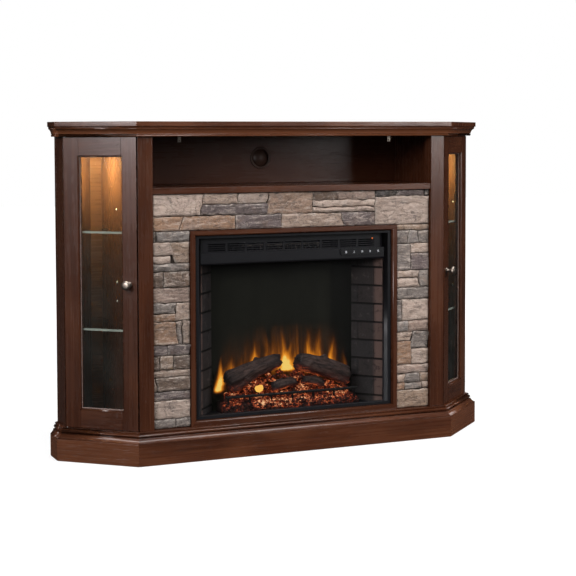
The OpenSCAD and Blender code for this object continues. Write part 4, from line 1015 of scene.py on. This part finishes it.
def key_signs(bm, key, centre):
    """Generic pictures on the push buttons"""
    if key == "power":
        arc(bm, centre, 2.3, 0.8, 35, 325)
        stroke(bm, centre, [(0, 0.6), (0, 3.0)], 0.8)
    elif key == "flame":
        stroke(bm, centre, [(0, 3.1), (-1.7, 0.4), (-1.9, -1.2), (-0.9, -2.6), (0.9, -2.6),
                            (1.9, -1.2), (1.5, 0.3), (0.7, 1.2), (0, 3.1)], 0.75)
    elif key == "timer":
        arc(bm, centre, 2.6, 0.75, 0, 360, 28)
        stroke(bm, centre, [(0, 1.7), (0, 0), (1.3, -0.7)], 0.7)
    else:
        for x in (0,) if key == "low_heat" else (-1.7, 0, 1.7):
            stroke(bm, centre, [(x - 0.5, -2.6), (x + 0.4, -1.2), (x - 0.4, 0.2),
                                (x + 0.4, 1.5), (x - 0.2, 2.8)], 0.75)
        stroke(bm, centre, [(-2.6, -3.2), (2.6, -3.2)], 0.6)


class FIREPLACE_OT_buttons(bpy.types.Operator):
    """Caps the push buttons and prints a generic sign on each"""
    bl_idname = "fireplace.buttons"
    bl_label = "Push buttons"

    def execute(self, context):
        for key in ("power", "flame", "timer", "low_heat", "high_heat"):
            node = key + "_button"
            low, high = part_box(node)
            centre = Vector(((low.x + high.x) / 2, low.y, (low.z + high.z) / 2))
            round_edges(piece(node + "_cap", node_copy(node), "black_plastic", body=node,
                              stands_for=[node]), 0.0005)
            bm = bmesh.new()
            key_signs(bm, key, centre + Vector((0, -0.00006, 0)))
            face_front(bm)
            bmesh.ops.solidify(bm, geom=bm.faces[:], thickness=-0.00012)
            face_out(bm)
            piece(node + "_sign", bm, "key_mark", body=node, smooth=False)
        return {"FINISHED"}


# ---- Fire ----
def log(node, *parts):
    """Half-burnt logs of resin: split bark, charred ends and a red underside.
    A part has its two ends, two radii, seed and stubs (place along it, angle, radius)."""
    bm = bmesh.new()
    heat = bm.verts.layers.float.new("warmth")
    char = bm.verts.layers.float.new("char")
    bark = bm.verts.layers.float_vector.new("bark_at")
    for low, high, r0, r1, seed, stubs in parts:
        run = high - low
        size = run.length
        turn = run.to_track_quat("Z", "Y").to_matrix()
        ring = max(28, round(max(r0, r1) * 1.7))
        made = bmesh.ops.create_cone(bm, cap_ends=True, segments=ring, radius1=r0 * MM,
                                     radius2=r1 * MM, depth=size)["verts"]
        own = set(made)
        long_edges = [e for e in bm.edges if e.verts[0] in own and e.verts[1] in own
                      and abs(e.verts[0].co.z - e.verts[1].co.z) > size / 2]
        bmesh.ops.subdivide_edges(bm, edges=long_edges, cuts=max(14, round(size / 0.0042)),
                                  use_grid_fill=True)
        own = {v for v in bm.verts if v.co.length < size and v.index >= 0 and v[bark].length == 0}
        caps = [f for f in bm.faces if len(f.verts) > 8 and all(v in own for v in f.verts)]
        own |= set(bmesh.ops.poke(bm, faces=caps)["verts"])
        for v in own:
            t = v.co.z / size + 0.5
            flat = Vector((v.co.x, v.co.y, 0))
            angle = math.atan2(v.co.y, v.co.x)
            radius = flat.length
            ridge = rough_at(math.cos(angle) * 2.6, math.sin(angle) * 2.6,
                             t * size * 9 + seed * 5)
            fibre = rough_at(math.cos(angle) * 9, math.sin(angle) * 9, t * size * 24 + seed * 3)
            swell = (0.07 * math.sin(3 * angle + seed + t * 2.6)
                     + 0.05 * math.sin(5 * angle - t * 3.6))
            grow = 1 + swell + 0.2 * ridge + 0.11 * fibre
            for st, sa, sr in stubs:
                away = math.hypot((t - st) * size / MM / sr,
                                  math.sin((angle - math.radians(sa)) / 2) * 2 * radius / MM / sr)
                grow += 0.75 * math.exp(-away * away * 2.2) * sr / (radius / MM + 1)
            end = min(t, 1 - t) * size / MM
            grow *= 1 - 0.3 * math.exp(-end / 3.2)
            v[bark] = Vector((t * size + seed, v.co.x, v.co.y))
            broken = rough_at(v.co.x * 160, v.co.y * 160, seed * 7) * 0.011
            v.co = flat * grow + Vector((0, 0, v.co.z + (broken if end < 0.5 else 0)))
            v[char] = clamp(1.15 * math.exp(-end / 14) + 0.25 * ridge)
        for v in own:
            t = v.co.z / size + 0.5
            bow = Vector((0, 0, 0.005 * math.sin(math.pi * clamp(t))))
            v.co = (low + high) / 2 + turn @ v.co + bow
            middle = low.z + (high.z - low.z) * clamp((v.co.x - low.x) / (high.x - low.x))
            v[heat] = clamp((middle + 0.005 - v.co.z) / (r0 * MM) * 1.1 - 0.1)
    face_out(bm)
    piece(node + "_bark", bm, "charred_bark", stands_for=[node])


class FIREPLACE_OT_logs(bpy.types.Operator):
    """Carves the logs"""
    bl_idname = "fireplace.logs"
    bl_label = "Logs"

    def execute(self, context):
        log("left_log", (spot(-188, 73, 191.5), spot(-25, 73, 247.5), 31, 18, 1.0,
                         [(0.62, 60, 12), (0.3, 200, 10)]))
        log("right_log", (spot(190, 73, 185.5), spot(25, 73, 241.5), 29, 23, 2.0,
                          [(0.5, 100, 13), (0.78, 10, 9)]))
        log("front_logs",
            (spot(-56, 58, 171.5), spot(16, 56, 184.5), 15.5, 13.0, 3.0, [(0.55, 70, 7)]),
            (spot(104, 60, 171.5), spot(38, 57, 186.5), 13.0, 12.0, 4.0, [(0.4, 80, 6)]))
        return {"FINISHED"}


# Hot places in the embers: x, depth and reach in millimetres, and strength
HOT = [(-181, 52, 26, 0.9), (-100, 54, 30, 0.7), (-37, 52, 34, 1.1), (20, 54, 28, 0.8),
       (67, 54, 30, 1.1), (125, 54, 30, 0.8), (185, 54, 24, 0.9), (-103, 68, 24, 1.3),
       (-60, 78, 40, 0.9), (10, 70, 26, 0.9), (90, 78, 40, 1.0), (-145, 76, 30, 0.9),
       (150, 70, 26, 0.9), (50, 66, 22, 0.9)]
# Undersides of the two large logs: x and height at each end
UNDER = [((-188, 163), (-25, 228)), ((190, 159), (25, 217))]


def ember_heat(x, y):
    warmth = sum(s * math.exp(-(((x - a) / r) ** 2 + ((y - b) / (r * 0.6)) ** 2))
                 for a, b, r, s in HOT)
    return clamp(warmth * (0.85 + 0.7 * rough_at(x * 0.05, y * 0.08, 3)))


def under_log(x):
    """Height of the nearer large log's underside over the embers"""
    (ax, az), (bx, bz) = UNDER[x > 0]
    return az + (bz - az) * clamp((x - ax) / (bx - ax))


class FIREPLACE_OT_embers(bpy.types.Operator):
    """Heaps the embers in front of the logs and under them"""
    bl_idname = "fireplace.embers"
    bl_label = "Embers"

    def execute(self, context):
        low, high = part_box("ember_bed")
        floor = low.z / MM
        wide, near, far = high.x / MM + 4, 37.0, 106.0
        bm = bmesh.new()
        heat = bm.verts.layers.float.new("warmth")

        def bed(x, y):
            end = math.sin(math.pi * clamp((x / wide + 1) / 2, 0.02, 0.98)) ** 0.35
            front = min(1.0, (y - near) / 7)
            climb = clamp((y - near - 16) / 16)
            lump = rough_at(x * 0.045, y * 0.07, 1.7)
            return floor + (29 + 9 * front + 12 * climb ** 0.7 + 5 * lump) * (0.3 + 0.7 * end)

        def fire(x, y, z):
            """Warmth of the bed: dark at the bar and towards the floor"""
            shade = 0.35 + 0.65 * min(1.0, abs(y - near - 13) / 9)
            shade *= 1.35 if y < near + 7 and z > floor + 24 else 1.0
            return ember_heat(x, max(y, 50.0)) * shade * clamp((z - floor) / 30, 0.1)

        def chunk(x, y, z, size, number, warm, stretch=(1.25, 0.95, 0.8)):
            made = bmesh.ops.create_icosphere(bm, subdivisions=2, radius=1.0)["verts"]
            turn = Matrix.Rotation(repeatable(number * 9.3) * 6.3, 3, "Z") @ Matrix.Rotation(
                repeatable(number * 7.7) * 0.9 - 0.45, 3, "Y")
            for v in made:
                rough = 1 + 0.42 * noise.noise(v.co * 1.8 + Vector((number, 0, 0)))
                p = turn @ Vector([c * s for c, s in zip(v.co, stretch)]) * rough * size
                v.co = spot(x + p.x, clamp(y + p.y, near - 1, far + 2),
                            max(z + p.z, floor + 1))
                v[heat] = warm

        def warmth_of(spread, number):
            return 0.3 + 0.9 * repeatable(number * spread)
        grid = bmesh.ops.create_grid(bm, x_segments=150, y_segments=28, size=0.5)["verts"]
        for v in grid:
            x, y = v.co.x * 2 * wide, near + (v.co.y + 0.5) * (far - near)
            z = bed(x, y) + rough_at(x * 0.2, y * 0.2, 8.0) * 2.2
            v.co = spot(x, y, z)
            v[heat] = fire(x, y, z)
        for v in skirt(bm, [e for e in bm.edges if e.is_boundary]):
            v.co.z = low.z
            v[heat] = 0.0
        # Crumbs over the whole bed, then on its front slope
        for k in range(200):
            x = (repeatable(k * 1.3) * 2 - 1) * (wide - 8)
            y = near + 4 + repeatable(k * 2.9 + 7) ** 1.3 * (far - near - 12)
            size = 2.6 + 4.4 * repeatable(k * 4.1 + 3) ** 1.6
            chunk(x, y, bed(x, y) + size * 0.2, size, k,
                  fire(x, y, bed(x, y)) * warmth_of(8.7, k))
        for k in range(210):
            x = (repeatable(k * 1.9 + 4) * 2 - 1) * (wide - 6)
            rise = repeatable(k * 3.7 + 1)
            z = floor + 3 + rise * (bed(x, near) - floor - 3)
            chunk(x, near + 1.5, z, 2.4 + 3.0 * repeatable(k * 5.1), k + 600,
                  fire(x, 50.0, z) * warmth_of(6.1, k))
        # Glowing pieces stacked up to the undersides of the logs
        for k in range(190):
            x = (repeatable(k * 1.71 + 5) * 2 - 1) * (wide - 26)
            y = 60 + repeatable(k * 3.1 + 2) * 34
            room = under_log(x) - 5 - max(0.0, 24 - abs(x)) * 0.9 - bed(x, y)
            if room >= 4:
                chunk(x, y, bed(x, y) + repeatable(k * 5.3 + 1) * room,
                      4.5 + 4.5 * repeatable(k * 2.3), k + 300,
                      0.12 + 0.88 * repeatable(k * 6.7) ** 1.6, (1.9, 0.8, 0.75))
        # One piece of white heat
        chunk(-100, 48, 174, 12.0, 901, 1.7, (1.15, 0.7, 0.85))
        face_out(bm)
        piece("embers", bm, "glowing_ember", stands_for=["ember_bed"])
        return {"FINISHED"}


# Flames: left and right of the foot, height of the foot, tip x and z, brightness, lean
FLAMES = [
    (-216, -186, 168, -190, 254, 1.7, 4), (-198, -178, 184, -181, 228, 0.35, -3),
    (-184, -136, 206, -160, 252, 0.55, 3), (-166, -152, 222, -157, 282, 0.16, 5),
    (-146, -128, 228, -136, 280, 0.15, -4),
    (-102, -74, 232, -88, 268, 0.5, 2), (-97, -80, 240, -88, 300, 0.5, -3),
    (-66, -38, 244, -47, 336, 0.2, 6), (-10, 32, 214, 11, 266, 1.6, 2),
    (-8, 10, 236, -3, 326, 0.42, -5), (13, 30, 238, 25, 306, 0.42, 5),
    (36, 60, 236, 48, 316, 0.2, 4), (78, 116, 230, 96, 266, 0.5, -3),
    (84, 106, 238, 68, 334, 0.42, -8), (104, 124, 236, 116, 318, 0.24, 5),
    (136, 164, 222, 150, 256, 0.4, 3), (149, 165, 226, 159, 300, 0.36, 5),
    (186, 204, 212, 194, 262, 0.42, -3)]


def flame_glow(x, z):
    """Glow of all the flames at a point of their screen"""
    x += rough_at(x * 0.03, z * 0.02, 4.0) * 4
    total = 0.0
    for k, (x0, x1, z0, tip_x, tip_z, bright, sway) in enumerate(FLAMES):
        t = (z - z0) / (tip_z - z0)
        if t > 1.25 or t < -0.4:
            continue
        middle = (x0 + x1) / 2 + (tip_x - (x0 + x1) / 2) * max(t, 0) ** 1.3
        middle += sway * math.sin(math.pi * t * 1.5 + k) * 0.8
        half = (x1 - x0) * 0.46 * max(0.06, 1 - max(t, 0) / 1.15) ** 1.15 + 2.4
        rise = math.exp(-(t * 9) ** 2) if t < 0 else max(0.0, 1 - t / 1.2) ** 1.1
        total += bright * rise * math.exp(-((x - middle) / half) ** 2)
    streak = (0.66 + 0.6 * rough_at(x * 0.05, z * 0.006, 9.0)
              + 0.3 * rough_at(x * 0.16, z * 0.01, 2.0))
    low = 226 + 22 * rough_at(x * 0.02, 3.0, 1.0)
    centre = math.exp(-((x - 20) / 150) ** 2)
    tall = 62 + 44 * centre + 34 * rough_at(x * 0.035, 5.0, 2.0)
    haze = math.exp(-((z - low) / (tall if z > low else 30)) ** 2)
    sides = clamp((218 - abs(x)) / 50)
    return total * 0.75 + (0.3 + 0.24 * centre) * haze * max(0.15, streak) * sides


class FIREPLACE_OT_flames(bpy.types.Operator):
    """Throws the flames on their screen"""
    bl_idname = "fireplace.flames"
    bl_label = "Flames"

    def execute(self, context):
        wide, foot, high = 440, 122, 236
        screen_y = (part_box("flame_screen")[0].y - FACE) / MM
        bm = bmesh.new()
        glow = bm.verts.layers.float.new("glow")
        grid = bmesh.ops.create_grid(bm, x_segments=200, y_segments=105, size=0.5)["verts"]
        for v in grid:
            x, z = v.co.x * wide, foot + (v.co.y + 0.5) * high
            fade = min((foot + high - z) / 20, (wide / 2 - abs(x)) / 8, (z - 140) / 26)
            v[glow] = flame_glow(x, z) * clamp(fade)
            v.co = spot(x, screen_y - 0.8, z)
        face_front(bm)
        piece("flames", bm, "flame_light")
        return {"FINISHED"}


# ---- Cabinets ----
# Middle of each puck lamp, in from the outer side of its box
PUCK_IN = 0.034


class FIREPLACE_OT_fittings(bpy.types.Operator):
    """Glass shelves, their pins, the lamps and the small metalwork"""
    bl_idname = "fireplace.fittings"
    bl_label = "Fittings"

    def execute(self, context):
        bm = node_copy("glass_shelves")
        for face in bm.faces:
            # Faces turned to the front, the cut front edges, get the painted highlight of the edge
            # colour; the rest get the pane
            face.material_index = 1 if face.normal.y < -0.5 else 0
        piece("glass_shelf_panes", bm, ["shelf_pane", "glass_edge"],
              stands_for=["glass_shelves"], smooth=False)
        for node, name in (("shelf_pins", "nickel"), ("top_brackets", "nickel"),
                           ("pivot_sockets", "steel"), ("door_catches", "brown_plastic"),
                           ("puck_lamps", "white_plastic")):
            dress(node, name)
        # Ring and rubber flap in the cable hole
        centre = Vector((0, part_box("media_back_panel")[0].y, 0.8245))
        bm = bmesh.new()
        for profile in ([(-8.5, 29.6), (0.2, 29.6), (0.2, 33), (1.2, 33), (2.2, 31.5),
                         (2.4, 28.5), (1.6, 26), (-8.5, 26), (-8.5, 29.6)],
                        [(-4, 0), (-4, 26.4), (-5.4, 26.4), (-5.4, 0)]):
            turned(bm, profile, centre, Vector((0, -1, 0)), 48)
        piece("cable_grommet", bm, "brown_plastic")
        # Sleeves of the spare shelf-pin holes, in the partitions and the side panels
        bm = bmesh.new()
        for side in (-1, 1):
            for wall, y, out in ((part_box("partitions")[1].x, 0.04, 1),
                                 (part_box("side_panels")[1].x - 0.016, 0.03, -1)):
                for z in (0.684, 0.478, 0.424):
                    turned(bm, [(-0.3, 3.6), (0.5, 3.6), (0.9, 3.2), (0.9, 2.6), (-0.3, 2.4)],
                           Vector((side * wall, y, z)), Vector((side * out, 0, 0)), 20)
        piece("pin_sleeves", bm, "white_plastic")
        low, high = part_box("puck_lamps")
        for side, name in ((-1, "left"), (1, "right")):
            bm = bmesh.new()
            centre = Vector((side * (high.x - PUCK_IN), (low.y + high.y) / 2, low.z + 0.0017))
            turned(bm, [(1.2, 0), (1.2, 24.6), (0.2, 24.6), (-0.9, 20), (-1.5, 10), (-1.6, 0)],
                   centre, Vector((0, 0, 1)), 40)
            piece(name + "_lamp_lens", bm, "lamp_lens")
        return {"FINISHED"}


# ---- Stage ----
def lamp(name, place, aim, power, role, tone=(1, 1, 1), kind="AREA", **values):
    """A lamp for gloss alone, or for the even light alone"""
    data = bpy.data.lights.new(name, kind)
    data.energy = power
    data.color = tone
    for key, value in values.items():
        setattr(data, key, value)
    made = bpy.data.objects.new(name, data)
    made.location = place
    made.rotation_euler = (Vector(aim) - Vector(place)).to_track_quat("-Z", "Y").to_euler()
    made.visible_camera = False
    made.visible_glossy = role == "gloss"
    made.visible_diffuse = role == "even"
    bpy.context.scene.collection.objects.link(made)


def panel_lamp(name, place, aim, power, wide, high, tone=(1, 1, 1)):
    """A panel that is only there to be mirrored"""
    lamp(name, place, aim, power, "gloss", tone, shape="RECTANGLE", size=wide, size_y=high)


def floor_finish(f):
    """White to the camera, with the object's shadow, and dim to everything else"""
    x, y, _ = f.axes(f.place())
    away = ((x * x + y * y) ** 0.5).ease(1.6, 3.2)
    grain = f.cloud(f.place(), 3.0, 2.0)
    matt = f.node("ShaderNodeBsdfDiffuse", {}, {
        "Color": f.blend(grain * 0.1, (0.36, 0.36, 0.36), (0.34, 0.34, 0.34))})
    glow = f.node("ShaderNodeEmission", {}, {
        "Color": f.blend(away, (0.7, 0.7, 0.7), (1.0, 1.0, 1.0)), "Strength": 1.0})
    both = f.node("ShaderNodeAddShader", {}, {0: matt, 1: glow})
    dim = f.node("ShaderNodeBsdfDiffuse", {}, {"Color": (0.035, 0.035, 0.035)})
    return f.done(f.mix(f.node("ShaderNodeLightPath", out="Is Camera Ray"), dim, both))


def sky(f, ambient):
    """White behind the object, an even light on it, and little for gloss to mirror"""
    camera, through, glossy = (f.node("ShaderNodeLightPath", out=f"Is {ray} Ray")
                               for ray in ("Camera", "Transmission", "Glossy"))
    _, back, _ = f.axes(f.node("ShaderNodeTexCoord", out="Generated"))
    # Gloss sees a pale front and a dark back
    gloss = (back * -1.0).larger(0.0) * 0.06 + 0.015
    seen = camera.larger(through)
    strength = seen + glossy * gloss + (1.0 - seen.larger(glossy)) * ambient
    f.done(f.node("ShaderNodeBackground", {}, {"Color": (1, 1, 1), "Strength": strength}))


def camera_turn(yaw, pitch, roll):
    ahead = Vector((math.sin(yaw) * math.cos(pitch), math.cos(yaw) * math.cos(pitch),
                    math.sin(pitch)))
    right = Vector((math.cos(yaw), -math.sin(yaw), 0))
    up = right.cross(ahead)
    level_x = right * math.cos(roll) + up * math.sin(roll)
    level_y = up * math.cos(roll) - right * math.sin(roll)
    return Matrix((level_x, level_y, -ahead)).transposed().to_4x4()


class FIREPLACE_OT_stage(bpy.types.Operator):
    """Camera, lamps, floor and background"""
    bl_idname = "fireplace.stage"
    bl_label = "Stage"

    def execute(self, context):
        scene = context.scene
        s = settings("studio")
        scene.view_settings.view_transform = "Standard"
        view = bpy.data.cameras.new("camera")
        view.lens, view.sensor_width = 89.93, 36.0
        view.shift_y = -0.125
        view.clip_end = 60
        eye = bpy.data.objects.new("camera", view)
        eye.matrix_world = Matrix.Translation((-1.6487, -3.8686, 0.8902)) @ camera_turn(
            0.4126, -0.0557, -0.0027)
        scene.collection.objects.link(eye)
        scene.camera = eye
        bm = bmesh.new()
        bmesh.ops.create_grid(bm, x_segments=2, y_segments=2, size=14.0)
        mesh = bpy.data.meshes.new("floor")
        bm.to_mesh(mesh)
        bm.free()
        ground = bpy.data.objects.new("floor", mesh)
        mesh.materials.append(floor_finish(Finish(bpy.data.materials.new("floor"))))
        scene.collection.objects.link(ground)
        scene.world = scene.world or bpy.data.worlds.new("studio")
        sky(Finish(scene.world, "ShaderNodeOutputWorld"), s.ambient)
        lamp("key", (-3.3, -3.3, 2.3), (0, 0, 0.5), s.key, "even", size=1.6)
        lamp("front", (3.2, -3.1, 1.9), (0, 0, 0.45), s.fill, "even", size=1.8)
        lamp("top", (0.2, -1.3, 3.3), (0, -0.1, 0.6), s.top, "even", size=2.0)
        panel_lamp("left_sheen", (-2.5, -1.5, 1.45), (-0.5, -0.15, 1.3), s.sheen, 1.3, 1.2,
                   (1.0, 0.95, 0.97))
        panel_lamp("right_sheen", (2.0, -2.85, 1.35), (0.45, -0.17, 1.2), s.sheen * 0.4, 0.8, 1.1)
        panel_lamp("line_sheen", (-2.6, -2.6, 0.85), (0.6, -0.1, 0.6), s.edges * 0.14, 0.5, 1.7)
        panel_lamp("edge_sheen", (0, 0, 3.1), (0, 0.001, 0), s.edges, 3.6, 2.6)
        lamp("back", (0.8, 3.4, 2.2), (0, 0, 0.5), s.key * 0.5, "even", size=1.6)
        low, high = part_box("puck_lamps")
        for side, name, share in ((-1, "left", 1.0), (1, "right", 0.6)):
            at = Vector((side * (high.x - PUCK_IN), high.y - 0.012, low.z - 0.022))
            lamp(name + "_cabinet", at, at + Vector((0, 0, -1)), s.puck * share, "even",
                 (0.86, 1.0, 0.46), "POINT", shadow_soft_size=0.04)
        return {"FINISHED"}


class FIREPLACE_PT_panel(bpy.types.Panel):
    """Lists the sizes, the colours and the steps"""
    bl_idname = "FIREPLACE_PT_panel"
    bl_label = "Corner fireplace"
    bl_space_type = "VIEW_3D"
    bl_region_type = "UI"
    bl_category = "Fireplace"

    def draw(self, context):
        for title, group in GROUPS.items():
            box = self.layout.box()
            box.label(text=title.capitalize())
            for key in group.__annotations__:
                box.prop(settings(title), key)
        for step in STEPS:
            self.layout.operator(step.bl_idname)


GROUPS = {"wood": WoodSettings, "stone": StoneSettings, "metal": MetalSettings,
          "fire": FireSettings, "studio": StudioSettings}
STEPS = (FIREPLACE_OT_woodwork, FIREPLACE_OT_doors, FIREPLACE_OT_stone,
         FIREPLACE_OT_firebox, FIREPLACE_OT_buttons, FIREPLACE_OT_logs,
         FIREPLACE_OT_embers, FIREPLACE_OT_flames, FIREPLACE_OT_fittings,
         FIREPLACE_OT_stage)


def register():
    for each in (*GROUPS.values(), *STEPS, FIREPLACE_PT_panel):
        bpy.utils.register_class(each)
    for title, group in GROUPS.items():
        setattr(bpy.types.Scene, "fireplace_" + title, bpy.props.PointerProperty(type=group))


def unregister():
    for title in GROUPS:
        delattr(bpy.types.Scene, "fireplace_" + title)
    for each in reversed((*GROUPS.values(), *STEPS, FIREPLACE_PT_panel)):
        bpy.utils.unregister_class(each)


def main():
    register()
    for step in STEPS:
        group, name = step.bl_idname.split(".")
        getattr(getattr(bpy.ops, group), name)()


if __name__ == "__main__":
    main()
